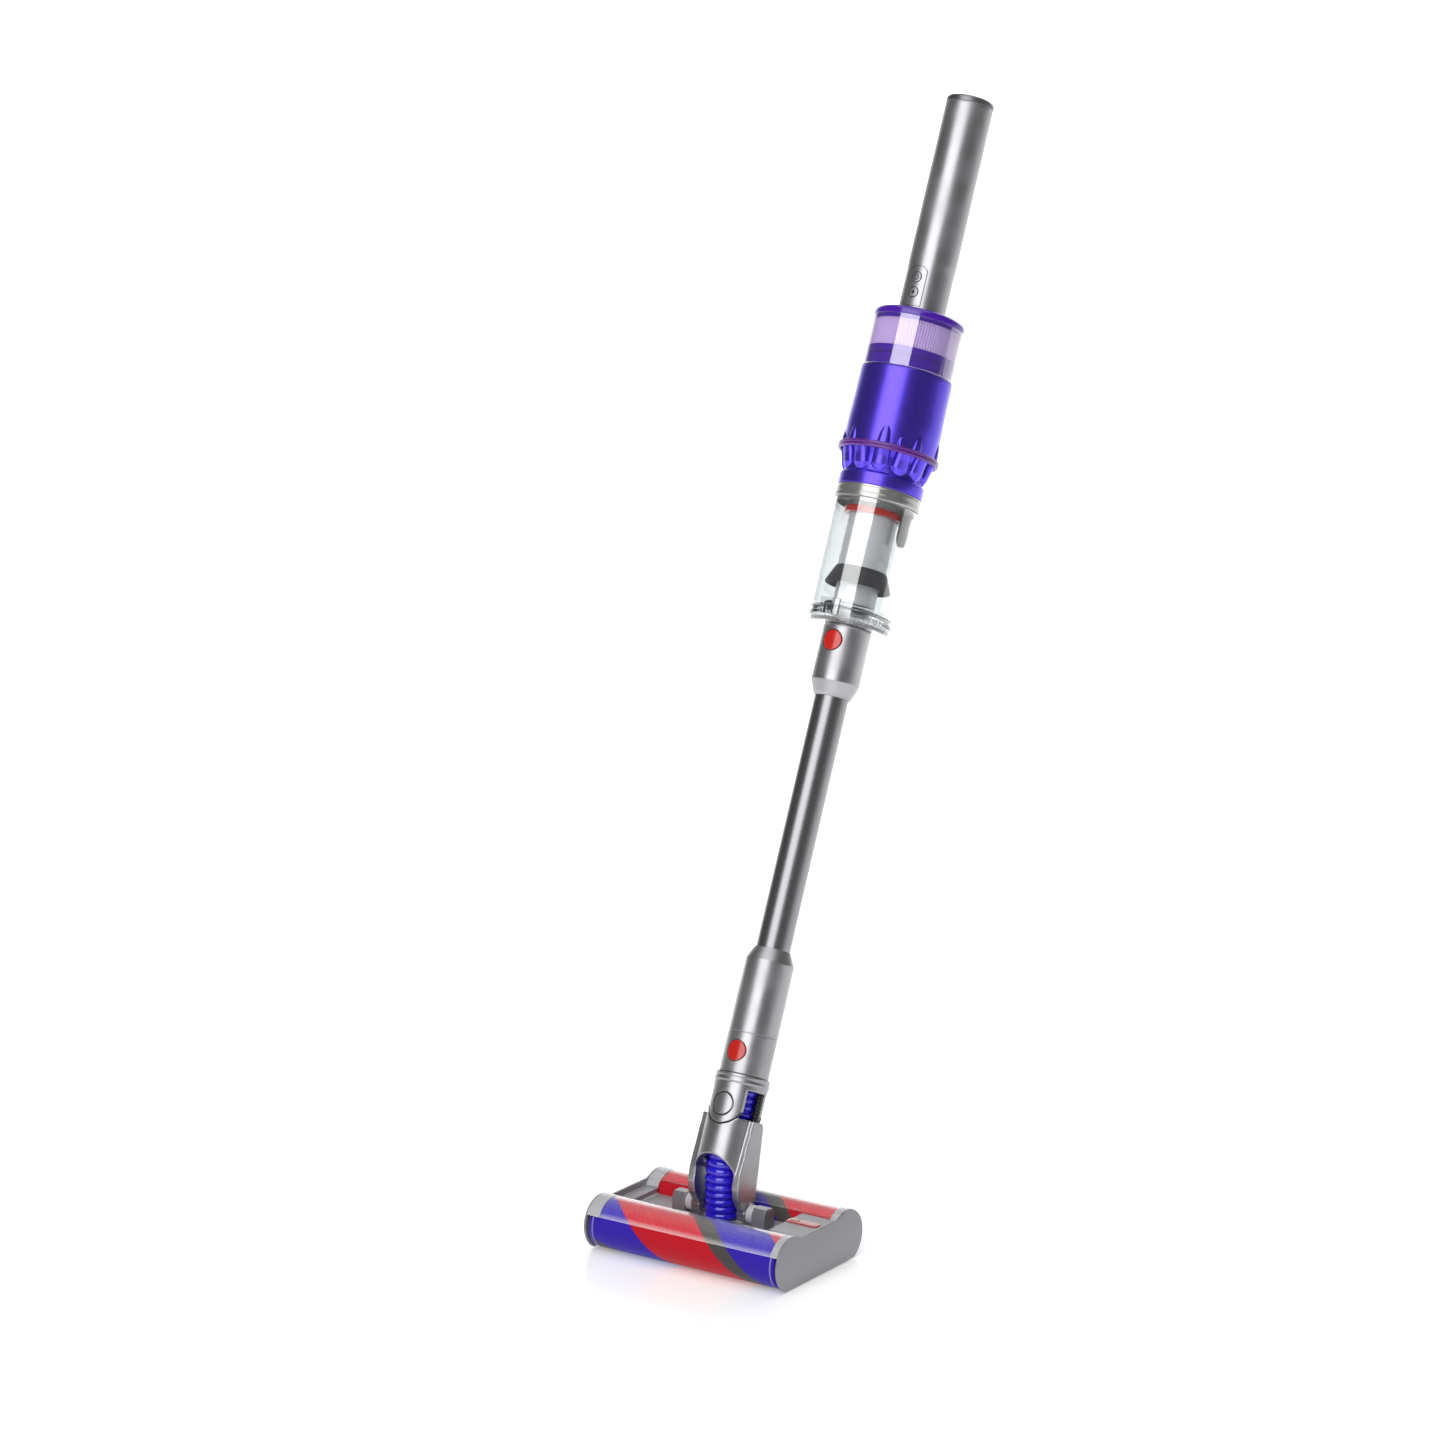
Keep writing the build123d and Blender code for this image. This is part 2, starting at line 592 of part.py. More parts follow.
with BuildPart() as motor_stator:
    ring(22, 12.8, 722, 762)
    ring(39.5, 3 + RUN, 762, 765)
    ring(39.5, 3 + RUN, 719, 722)
export(motor_stator, "motor_stator")

with BuildPart() as motor_impeller:
    disc(3, 700, 770)
    disc(12, 726, 758)
    turned((0, 704), (8, 704), (26, 714), (26, 716), (0, 716))
export(motor_impeller, "motor_impeller")

with BuildPart() as battery_dock:
    turned((0, 781), (38, 781), (38, 783), (DOCK_R, 784.5), (DOCK_R, FILTER_TOP - 0.8),
           (HANDLE_R + GAP, FILTER_TOP - 0.8), (HANDLE_R + GAP, HANDLE_LOW - 1), (0, HANDLE_LOW - 1))
export(battery_dock, "battery_dock")

# ---- Filter: lifts off over the handle
with BuildPart() as filter_lower_ring:
    ring(40.6, FILTER_BORE_R, 785.4, FILTER_SEAM)
export(filter_lower_ring, "filter_lower_ring")

with BuildPart() as filter_media:
    ring(39.6, 26, FILTER_SEAM, 820.4)
export(filter_media, "filter_media")

with BuildPart() as filter_shell:
    ring(FILTER_R + 0.2, 40.8, BODY_TOP + 0.6, 820.4)
export(filter_shell, "filter_shell")

with BuildPart() as filter_cap:
    turned((FILTER_BORE_R, 820.6), (FILTER_R + 0.1, 820.6), (41.7, 822.6), (40.4, 824.6), (38.4, 825.6),
           (35.5, FILTER_TOP), (FILTER_BORE_R, FILTER_TOP))
export(filter_cap, "filter_cap")

# ---- Handle: the battery pack, with the controls on its front
with BuildSketch(axial) as panel_outline:
    with BuildLine():
        Polyline((-PANEL_HALF, PANEL_TOP - 6), (-PANEL_HALF, PANEL_LOW), (PANEL_HALF, PANEL_LOW),
                 (PANEL_HALF, PANEL_TOP - 6))
        ThreePointArc((PANEL_HALF, PANEL_TOP - 6), (0, PANEL_TOP), (-PANEL_HALF, PANEL_TOP - 6))
    make_face()

with BuildPart() as control_panel:
    ring(PANEL_R, PANEL_R - 0.5, FILTER_TOP, PANEL_TOP + 1)
    extrude(panel_outline.sketch, amount=40, mode=Mode.INTERSECT)
    for station in (POWER_L, BOOST_L):
        forward_cylinder(SMALL_BUTTON_R + 0.3, station, 10, 30, mode=Mode.SUBTRACT)
export(control_panel, "control_panel")

with BuildPart() as panel_recess:
    ring(PANEL_R + 3, PANEL_R - 0.5, FILTER_TOP, PANEL_TOP + 1)
    extrude(panel_outline.sketch, amount=40, mode=Mode.INTERSECT)

with BuildPart() as handle_shell:
    # the grip starts above the panel, which sits on a slightly slimmer stretch
    turned((PANEL_R - 1.3, HANDLE_LOW), (PANEL_R, HANDLE_LOW), (PANEL_R, GRIP_LOW - 2), (HANDLE_R, GRIP_LOW),
           (HANDLE_R, HANDLE_SEAM), (PANEL_R - 1.3, HANDLE_SEAM))
    disc(PANEL_R - 0.6, HANDLE_LOW, HANDLE_LOW + 2.5)
    add(panel_recess.part, mode=Mode.SUBTRACT)
    for station in (POWER_L, BOOST_L):
        forward_cylinder(SMALL_BUTTON_R + 0.3, station, 10, 30, mode=Mode.SUBTRACT)
export(handle_shell, "handle_shell")

with BuildPart() as handle_end_cap:
    turned((0, HANDLE_SEAM + 0.2), (HANDLE_R, HANDLE_SEAM + 0.2), (HANDLE_R, HANDLE_TOP - HANDLE_EDGE),
           (HANDLE_R - 0.6, HANDLE_TOP - 0.6), (HANDLE_R - HANDLE_EDGE, HANDLE_TOP), (0, HANDLE_TOP))
    disc(6, HANDLE_TOP - 12, HANDLE_TOP - 6)
    disc(SOCKET_R, HANDLE_TOP - SOCKET_DEPTH, HANDLE_TOP + 1, mode=Mode.SUBTRACT)
export(handle_end_cap, "handle_end_cap")

CELL_R, CELL_LENGTH = 9.1, 65
with BuildPart() as battery_cells:
    for low in (872, 872 + CELL_LENGTH + 2):
        with BuildSketch(stick.offset(low)) as cells:
            with PolarLocations(10.6, 3):
                Circle(CELL_R)
        extrude(cells.sketch, amount=CELL_LENGTH)
export(battery_cells, "battery_cells")

for name, station in (("power_button", POWER_L), ("boost_button", BOOST_L)):
    with BuildPart() as small_button:
        disc(PANEL_R + 0.7, station - 8, station + 8)
        with BuildSketch(facing(station).offset(19.4)) as face:
            Circle(SMALL_BUTTON_R)
        extrude(face.sketch, amount=10, mode=Mode.INTERSECT)
    export(small_button, name)
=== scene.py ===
"""Cordless stick vacuum: its visible surfaces, finishes and studio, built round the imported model.

Lengths inside the outlines are millimetres. An outline's points are (radius from the stick's axis, station along it),
stations run up from the foot of the stick, and angles round it run from the front towards +X.
"""

import json
from math import atan2, cos, pi, radians, sin, tan

import bmesh
import bpy
import numpy as np
from mathutils import Matrix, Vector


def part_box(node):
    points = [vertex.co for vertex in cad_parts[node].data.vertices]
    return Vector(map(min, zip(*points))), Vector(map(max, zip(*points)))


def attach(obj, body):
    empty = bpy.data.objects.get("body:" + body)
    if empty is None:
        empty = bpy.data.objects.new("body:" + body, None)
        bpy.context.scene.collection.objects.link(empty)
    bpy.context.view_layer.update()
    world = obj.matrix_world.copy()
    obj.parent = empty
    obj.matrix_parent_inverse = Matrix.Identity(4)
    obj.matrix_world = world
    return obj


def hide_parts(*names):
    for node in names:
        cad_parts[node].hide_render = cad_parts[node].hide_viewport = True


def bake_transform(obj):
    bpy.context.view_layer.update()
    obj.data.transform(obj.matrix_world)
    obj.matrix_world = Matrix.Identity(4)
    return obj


bl_info = {
    "name": "Cordless stick vacuum",
    "version": (1, 0, 0),
    "blender": (4, 5, 0),
    "location": "3D View > Sidebar > Vacuum",
    "description": "Builds the visible surfaces of a cordless stick vacuum round its CAD model",
    "category": "Object",
}

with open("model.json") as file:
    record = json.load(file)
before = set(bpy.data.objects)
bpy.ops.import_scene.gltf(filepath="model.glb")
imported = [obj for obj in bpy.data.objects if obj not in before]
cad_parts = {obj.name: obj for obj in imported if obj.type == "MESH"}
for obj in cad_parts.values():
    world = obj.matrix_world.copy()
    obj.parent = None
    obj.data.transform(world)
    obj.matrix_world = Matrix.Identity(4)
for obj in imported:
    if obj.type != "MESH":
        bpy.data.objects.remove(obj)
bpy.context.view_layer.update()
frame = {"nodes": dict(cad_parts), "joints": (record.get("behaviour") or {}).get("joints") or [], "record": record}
JOINTS = {joint["name"]: joint for joint in frame["joints"]}
BODY_OF = {node: body for body, nodes in frame["record"]["behaviour"]["bodies"].items() for node in nodes}

MM = 0.001
ACROSS = np.array([1.0, 0.0, 0.0])
FORWARD = np.array(JOINTS["neck_swing"]["axis"], float)
ALONG = np.array(JOINTS["wand_detach"]["axis"], float)
PIVOT = np.array(JOINTS["head_pitch"]["pos_m"], float)
SWING = np.array(JOINTS["neck_swing"]["pos_m"], float)
SWING_STATION = 89.3
FOOT = SWING - ALONG * SWING_STATION * MM
LEAN = atan2(ALONG[1], ALONG[2])
AXIS_OFFSET = float(np.linalg.norm(FOOT - PIVOT))


def centre_of(node):
    low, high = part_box(node)
    return (np.array(low) + np.array(high)) / 2


def linear(text):
    """An sRGB hex colour as linear RGBA."""
    parts = [int(text[i:i + 2], 16) / 255 for i in (1, 3, 5)]
    return tuple(c / 12.92 if c <= 0.04045 else ((c + 0.055) / 1.055) ** 2.4 for c in parts) + (1.0,)


# ---- Sizes and colours that a user may change
def colour(name, text, description):
    return bpy.props.FloatVectorProperty(name=name, description=description, default=linear(text), size=4,
                                         min=0.0, max=1.0, subtype="COLOR")


class VacuumSizes(bpy.types.PropertyGroup):
    """Sizes of the details that the CAD model leaves plain."""

    hose_pitch: bpy.props.FloatProperty(
        name="Hose pitch", description="Distance from one hose rib to the next", default=6.5 * MM, unit="LENGTH")
    hose_depth: bpy.props.FloatProperty(
        name="Hose rib depth", description="Height of a hose rib over its valley", default=2.1 * MM, unit="LENGTH")
    pleats: bpy.props.IntProperty(
        name="Filter pleats", description="Number of folds round the filter", default=96, min=20, max=160)
    stripe_lead: bpy.props.FloatProperty(
        name="Stripe lead", description="Travel of a roller's stripes in one turn", default=165 * MM, unit="LENGTH")
    key_power: bpy.props.FloatProperty(
        name="Key light", description="Strength of the large front light", default=74.0, unit="POWER")


class VacuumColours(bpy.types.PropertyGroup):
    """Colours of the main finishes."""

    nickel: colour("Satin nickel", "#a3a2a5", "Plated handle, connectors and neck")
    body: colour("Purple paint", "#5640cc", "Metallic paint on the motor body")
    stripe_purple: colour("Purple pile", "#2d12a0", "Purple stripe of the rollers")
    stripe_red: colour("Red pile", "#b8001c", "Red stripe of the rollers")
    stripe_grey: colour("Grey filament", "#45413f", "Grey anti-static stripe of the rollers")
    button: colour("Release button", "#b41c12", "Red release buttons and latch")
    hose: colour("Hose", "#2412c4", "Flexible hose in the neck")
    housing: colour("Housing", "#8d8c91", "Moulded parts of the head")


def sizes():
    return bpy.context.scene.vacuum_sizes


def colours():
    return bpy.context.scene.vacuum_colours


# ---- Shapes
def on_stick(radius, station, angle):
    """The point at a radius and angle round the stick's axis and a station along it, all three in metres and radians:
    foot + station along + radius times (cos angle forward + sin angle across)."""
    radius, station, angle = (np.asarray(a, float)[..., None] for a in (radius, station, angle))
    return FOOT + ALONG * station + FORWARD * radius * np.cos(angle) + ACROSS * radius * np.sin(angle)


def softened(outline, round_off=0.5, steps=4):
    """A closed outline with each corner replaced by a quadratic curve that begins and ends round_off from it, and one
    more point a little further on each side, which keeps the flats flat under smooth shading."""
    outline = np.array(outline, float)
    out = []
    for before, here, after in zip(np.roll(outline, 1, 0), outline, np.roll(outline, -1, 0)):
        back, ahead = before - here, after - here
        back_length, ahead_length = np.linalg.norm(back), np.linalg.norm(ahead)
        back, ahead = back / back_length, ahead / ahead_length
        if here[0] < 1e-6 or back @ ahead < -0.985:
            out.append(here)
            continue
        reach = min(round_off, 0.3 * back_length, 0.3 * ahead_length)
        out.append(here + back * reach * 1.6)
        for t in np.linspace(0, 1, steps + 1):
            out.append(here + back * reach * (1 - t) ** 2 + ahead * reach * t ** 2)
        out.append(here + ahead * reach * 1.6)
    return np.array(out)


def surface(points, rows_close=True, caps=False, uv=None):
    """Quads over a grid of points (rows, columns, 3) whose columns close on themselves. rows_close joins the last row
    to the first, and caps closes the first and last rows with one face each. uv is (value of each row, value of each
    column), each one longer than the grid where it closes."""
    rows, columns = points.shape[:2]
    last = rows if rows_close else rows - 1
    i, j = np.meshgrid(np.arange(last), np.arange(columns), indexing="ij")
    i, j = i.ravel(), j.ravel()
    up, right = (i + 1) % rows, (j + 1) % columns
    quads = np.stack([i * columns + j, i * columns + right, up * columns + right, up * columns + j], 1)
    faces = quads.tolist()
    if uv is None:
        uv = (np.arange(rows + 1) / rows, np.arange(columns + 1) / columns)
    row_value, column_value = (np.asarray(v, float) for v in uv)
    u = np.stack([row_value[i], row_value[i], row_value[i + 1], row_value[i + 1]], 1)
    v = np.stack([column_value[j], column_value[j + 1], column_value[j + 1], column_value[j]], 1)
    loops = np.stack([u.ravel(), v.ravel()], 1)
    if caps:
        ends = [list(range(columns))[::-1], list(range((rows - 1) * columns, rows * columns))]
        faces += ends
        loops = np.concatenate([loops, np.zeros((2 * columns, 2))])
    return points.reshape(-1, 3), faces, loops


def turned(outline, columns=128, reshape=None):
    """A closed outline carried round the stick's axis. reshape(radius, station, angle) in millimetres and radians may
    give each point of the grid a new radius. Its UV is (station in metres, turns round the axis)."""
    outline = np.array(outline, float)
    angle = np.linspace(0, 2 * pi, columns, endpoint=False)
    radius, angle = np.meshgrid(outline[:, 0], angle, indexing="ij")
    station = np.broadcast_to(outline[:, 1:2], radius.shape)
    if reshape is not None:
        radius = reshape(radius, station, angle)
    around = np.linspace(0, 1, columns + 1)
    uv = (np.append(outline[:, 1], outline[0, 1]) * MM, around)
    return surface(on_stick(radius * MM, station * MM, angle), uv=uv)


def turned_on_x(outline, y, z, columns=128):
    """A closed outline of (radius, x) carried round a line parallel to X: the point at angle a stands radius cos a
    towards the front and radius sin a up. Its UV is (x in metres, turns)."""
    outline = np.array(outline, float) * MM
    angle = np.linspace(0, 2 * pi, columns, endpoint=False)
    radius, angle = np.meshgrid(outline[:, 0], angle, indexing="ij")
    points = np.stack([np.broadcast_to(outline[:, 1:2], radius.shape), y - radius * np.cos(angle),
                       z + radius * np.sin(angle)], -1)
    return surface(points, uv=(np.append(outline[:, 1], outline[0, 1]), np.linspace(0, 1, columns + 1)))


def stacked(loop, levels, place):
    """A closed loop of 2-D points repeated at each level and drawn in there: levels are (height, inset), each inset
    moves every point in along the loop's own normal, and place(a, b, height) gives the points in the row frame."""
    loop = np.array(loop, float)
    ahead = np.roll(loop, -1, 0) - np.roll(loop, 1, 0)
    ahead /= np.linalg.norm(ahead, axis=1)[:, None]
    inward = np.stack([-ahead[:, 1], ahead[:, 0]], 1)
    area = np.sum(loop[:, 0] * np.roll(loop[:, 1], -1) - loop[:, 1] * np.roll(loop[:, 0], -1))
    inward *= np.sign(area)
    grid = np.array([place(*(loop + inward * inset).T, height) for height, inset in levels])
    return surface(grid, rows_close=False, caps=True)


def rounded_levels(low, high, edge, both=True, steps=4):
    """Levels from low to high whose ends are drawn in by quarter circles of radius edge."""
    turn = np.linspace(0, pi / 2, steps + 1)
    top = [(high - edge * (1 - sin(t)), edge * (1 - cos(t))) for t in turn]
    bottom = [(low + edge * (1 - sin(t)), edge * (1 - cos(t))) for t in turn[::-1]] if both else [(low, 0)]
    return bottom + [(low + edge * 1.6, 0), (high - edge * 1.6, 0)] + top


def along_head(loop, levels):
    """A loop of (y, z) from the head's centre line, stacked along X."""
    return stacked(loop, levels, lambda a, b, x: np.stack([np.full_like(a, x), a + PIVOT[1] / MM, b], 1) * MM)


def up_from_head(loop, levels):
    """A loop of (x, y) from the head's centre, stacked along Z."""
    return stacked(loop, levels, lambda a, b, z: np.stack([a, b + PIVOT[1] / MM, np.full_like(a, z)], 1) * MM)


def on_barrel(loop, station, face, root, edge=0.4, side=1, x=0):
    """A patch that follows the barrel round the stick's axis: a loop of (across, along) points rises from the root
    radius to the face radius, is scaled in by a quarter circle at its edge and then closes to its middle, and each
    point stands sqrt(radius squared - across squared) out."""
    loop = np.array(loop, float)
    size = np.abs(loop).max()
    turn = np.linspace(0, pi / 2, 5)
    rows = [(root, 1.0)] + [(face - edge * (1 - sin(t)), 1 - edge * (1 - cos(t)) / size) for t in turn]
    rows += [(face, s) for s in (0.9, 0.72, 0.5, 0.3, 0.1)]
    grid = []
    for radius, scale in rows:
        a, b = (loop * scale).T
        a = a + x
        out = np.sqrt(radius ** 2 - a ** 2)
        away = ACROSS * a[:, None] + FORWARD * side * out[:, None]
        grid.append(on_stick(0 * a, (b + station) * MM, 0 * a) + away * MM)
    return surface(np.array(grid), rows_close=False, caps=True)


def circle(radius, count=48, middle=(0, 0)):
    turn = np.linspace(0, 2 * pi, count, endpoint=False)
    return np.stack([middle[0] + radius * np.cos(turn), middle[1] + radius * np.sin(turn)], 1)


def tube(centres, radius, columns=10, closed=False):
    """A round tube of one radius, in metres, along a line of points: each ring stands square to the line's tangent."""
    centres = np.asarray(centres, float)
    if closed:
        tangent = np.roll(centres, -1, 0) - np.roll(centres, 1, 0)
    else:
        tangent = np.gradient(centres, axis=0)
    tangent /= np.linalg.norm(tangent, axis=1)[:, None]
    helper = np.where(np.abs(tangent @ FORWARD)[:, None] > 0.9, ALONG, FORWARD)
    first = np.cross(tangent, helper)
    first /= np.linalg.norm(first, axis=1)[:, None]
    second = np.cross(tangent, first)
    turn = np.linspace(0, 2 * pi, columns, endpoint=False)[None, :, None]
    grid = centres[:, None] + radius * (np.cos(turn) * first[:, None] + np.sin(turn) * second[:, None])
    return surface(grid, rows_close=closed, caps=not closed)


def mesh_of(name, shells):
    """Joins shells into one mesh, with poles and seams merged and faces pointing out."""
    points, faces, loops, start = [], [], [], 0
    for shell_points, shell_faces, shell_loops in shells:
        points.append(shell_points)
        faces += [[k + start for k in face] for face in shell_faces]
        loops.append(shell_loops)
        start += len(shell_points)
    mesh = bpy.data.meshes.new(name)
    mesh.from_pydata(np.concatenate(points).tolist(), [], faces)
    mesh.uv_layers.new(name="UVMap").data.foreach_set("uv", np.concatenate(loops).astype(np.float32).ravel())
    work = bmesh.new()
    work.from_mesh(mesh)
    bmesh.ops.remove_doubles(work, verts=work.verts, dist=2e-6)
    bmesh.ops.recalc_face_normals(work, faces=work.faces)
    work.to_mesh(mesh)
    work.free()
    return mesh


def solved(thing):
    """The mesh of an object with its modifiers worked out."""
    bpy.context.view_layer.update()
    return bpy.data.meshes.new_from_object(thing.evaluated_get(bpy.context.evaluated_depsgraph_get()))


def bored(name, shells, cutters):
    """The shells with other closed shells cut out of them."""
    host = bpy.data.objects.new(name, mesh_of(name, shells))
    tool = bpy.data.objects.new(name + "_tool", mesh_of(name + "_tool", cutters))
    for thing in (host, tool):
        bpy.context.scene.collection.objects.link(thing)
    cut = host.modifiers.new("Cut", "BOOLEAN")
    cut.operation, cut.solver, cut.object, cut.use_self = "DIFFERENCE", "EXACT", tool, True
    mesh = solved(host)
    for thing in (host, tool):
        bpy.data.objects.remove(thing)
    return mesh


def moulded(node, voxel, passes, upright=False):
    """A CAD node's shape with its triangles joined, evened to one voxel size and relaxed, so its edges are rounded as
    a mould rounds them. It is worked out square to the stick's axis unless it is upright."""
    mesh = frame["nodes"][node].data.copy()
    work = bmesh.new()
    work.from_mesh(mesh)
    bmesh.ops.remove_doubles(work, verts=work.verts, dist=1e-6)
    work.to_mesh(mesh)
    work.free()
    turn = Matrix.Identity(4) if upright else Matrix.Rotation(LEAN, 4, "X")
    mesh.transform(turn)
    thing = bpy.data.objects.new(node + "_work", mesh)
    bpy.context.scene.collection.objects.link(thing)
    even = thing.modifiers.new("Even", "REMESH")
    even.mode, even.voxel_size, even.use_smooth_shade = "VOXEL", voxel * MM, True
    relax = thing.modifiers.new("Relax", "SMOOTH")
    relax.factor, relax.iterations = 0.5, passes
    result = solved(thing)
    bpy.data.objects.remove(thing)
    result.transform(turn.inverted())
    return result


def piece(name, shape, finish, slot, *nodes, body=None, crease=40):
    """Makes a piece from shells or a mesh, gives it the finish of that name, lets it ride on the body of the nodes it
    stands for and hides those."""
    mesh = shape if isinstance(shape, bpy.types.Mesh) else mesh_of(name, shape)
    mesh.name = name
    mesh.materials.clear()
    mesh.materials.append(finishes()[finish])
    mesh.shade_smooth()
    mesh.set_sharp_from_angle(angle=radians(crease))
    made = bpy.data.objects.new(name, mesh)
    bpy.context.scene.collection.objects.link(made)
    if body is not False:
        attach(made, body or BODY_OF[nodes[0]])
    if nodes:
        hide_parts(*nodes)
    return made


def ring_piece(name, outline, round_off, finish, slot, *nodes, body=None):
    """A piece turned round the stick's axis from an outline whose corners are softened by round_off."""
    return piece(name, [turned(softened(outline, round_off))], finish, slot, *nodes, body=body)


# ---- Finishes
def add(tree, kind, inputs=None, **settings):
    """Adds a shader node. settings are its own properties, and inputs its sockets' values or the sockets that feed
    them."""
    made = tree.nodes.new("ShaderNode" + kind)
    for key, value in settings.items():
        setattr(made, key, value)
    for key, value in (inputs or {}).items():
        if isinstance(value, bpy.types.NodeSocket):
            tree.links.new(value, made.inputs[key])
        else:
            made.inputs[key].default_value = value
    return made


def new_finish(name, base, roughness, **sockets):
    """A material with one Principled shader, its uniform values set on the shader's own sockets."""
    material = bpy.data.materials.new(name)
    material.use_nodes = True
    tree = material.node_tree
    shader = tree.nodes["Principled BSDF"]
    shader.inputs["Base Color"].default_value = base
    shader.inputs["Roughness"].default_value = roughness
    for key, value in sockets.items():
        shader.inputs[key.replace("_", " ")].default_value = value
    return material, tree, shader


def spots(tree, size, detail=2.0, stretch=(1, 1, 1)):
    """Noise in object space whose spots are size millimetres across, drawn out by stretch."""
    place = add(tree, "TexCoord")
    scaled = add(tree, "Mapping", {"Vector": place.outputs["Object"], "Scale": tuple(1 / s for s in stretch),
                                   "Rotation": (LEAN, 0, 0)})
    return add(tree, "TexNoise", {"Vector": scaled.outputs["Vector"], "Scale": 1 / (size * MM),
                                  "Detail": detail}).outputs["Fac"]


def vary(tree, shader, base, fac, shade, rough_low, rough_high):
    """Lets a pattern darken the colour by shade and move the roughness between two values."""
    dark = tuple(c * (1 - shade) for c in base[:3]) + (1.0,)
    light = tuple(min(1.0, c * (1 + shade)) for c in base[:3]) + (1.0,)
    mix = add(tree, "Mix", {"Factor": fac}, data_type="RGBA")
    mix.inputs[6].default_value, mix.inputs[7].default_value = dark, light
    tree.links.new(mix.outputs[2], shader.inputs["Base Color"])
    spread = add(tree, "MapRange", {"Value": fac, "From Min": 0.3, "From Max": 0.7, "To Min": rough_low,
                                    "To Max": rough_high})
    tree.links.new(spread.outputs["Result"], shader.inputs["Roughness"])


def emboss(tree, shader, height, depth, strength=1.0):
    """Raises the surface by a pattern, depth in millimetres."""
    bump = add(tree, "Bump", {"Height": height, "Distance": depth * MM, "Strength": strength})
    tree.links.new(bump.outputs["Normal"], shader.inputs["Normal"])


def textured(name, base, roughness, shade, patch, grain, depth, **sockets):
    """A moulded, painted or plated finish: broad patches shift its tone and gloss, and a fine grain its surface."""
    material, tree, shader = new_finish(name, base, roughness, **sockets)
    vary(tree, shader, base, spots(tree, patch), shade, roughness * 0.85, roughness * 1.15)
    emboss(tree, shader, spots(tree, grain, 3.0), depth)
    return material


def lets_light_in(material, tree, shader, tint):
    """Lets lamp rays straight through a clear plastic, so that what it covers is lit."""
    output = tree.nodes["Material Output"]
    rays = add(tree, "LightPath")
    clear = add(tree, "BsdfTransparent", {"Color": tint})
    mix = add(tree, "MixShader", {0: rays.outputs["Is Shadow Ray"], 1: shader.outputs["BSDF"],
                                  2: clear.outputs["BSDF"]})
    tree.links.new(mix.outputs["Shader"], output.inputs["Surface"])
    return material


def clear_plastic(name, base, roughness, tint, **sockets):
    """Injection-moulded transparent plastic with faint flow marks."""
    material, tree, shader = new_finish(name, base, roughness, Transmission_Weight=1.0, IOR=1.49, **sockets)
    emboss(tree, shader, spots(tree, 14, 1.0, (1, 1, 4)), 0.02)
    return lets_light_in(material, tree, shader, tint)


def pile(name, stops, shift):
    """Woven nylon pile in spiral stripes. The place along the spiral is x over the lead plus turns round the roller
    plus a shift, and stops are (place, colour) pairs."""
    material, tree, shader = new_finish(name, stops[0][1], 0.8, Sheen_Weight=0.25, Sheen_Roughness=0.4,
                                        Specular_IOR_Level=0.25)
    uv = add(tree, "SeparateXYZ", {"Vector": add(tree, "TexCoord").outputs["UV"]})
    along = add(tree, "Math", {0: uv.outputs["X"], 1: 1 / sizes().stripe_lead, 2: uv.outputs["Y"]},
                operation="MULTIPLY_ADD")
    # tufts are 0.9 mm apart, drawn a little coarser than real pile so that they show
    tufts = spots(tree, 0.9, 3.0)
    ragged = add(tree, "Math", {0: tufts, 1: 0.008, 2: along.outputs[0]}, operation="MULTIPLY_ADD")
    shifted = add(tree, "Math", {0: ragged.outputs[0], 1: shift}, operation="ADD")
    turn = add(tree, "Math", {0: shifted.outputs[0]}, operation="FRACT")
    ramp = add(tree, "ValToRGB", {"Fac": turn.outputs[0]})
    ramp.color_ramp.interpolation = "CONSTANT"
    marks = ramp.color_ramp.elements
    marks[0].position, marks[0].color = stops[0]
    marks[1].position, marks[1].color = stops[1]
    for position, shade in stops[2:]:
        marks.new(position).color = shade
    # the pile is cut short in a pale ring near each end
    out = add(tree, "Math", {0: uv.outputs["X"]}, operation="ABSOLUTE")
    near = add(tree, "Math", {0: out.outputs[0], 1: 95.6 * MM, 2: 0.8 * MM}, operation="COMPARE")
    ends = add(tree, "Math", {0: out.outputs[0], 1: 94.8 * MM}, operation="GREATER_THAN")
    capped = add(tree, "Mix", {"Factor": ends.outputs[0], 6: ramp.outputs["Color"]}, data_type="RGBA")
    capped.inputs[7].default_value = colours().stripe_purple
    ringed = add(tree, "Mix", {"Factor": near.outputs[0], 6: capped.outputs[2]}, data_type="RGBA")
    ringed.inputs[7].default_value = linear("#7a76b4")
    worn = add(tree, "MapRange", {"Value": tufts, "From Min": 0.3, "From Max": 0.7, "To Min": 0.78,
                                  "To Max": 1.12})
    toned = add(tree, "VectorMath", {0: ringed.outputs[2], "Scale": worn.outputs["Result"]},
                operation="SCALE")
    tree.links.new(toned.outputs["Vector"], shader.inputs["Base Color"])
    emboss(tree, shader, tufts, 0.35)
    return material


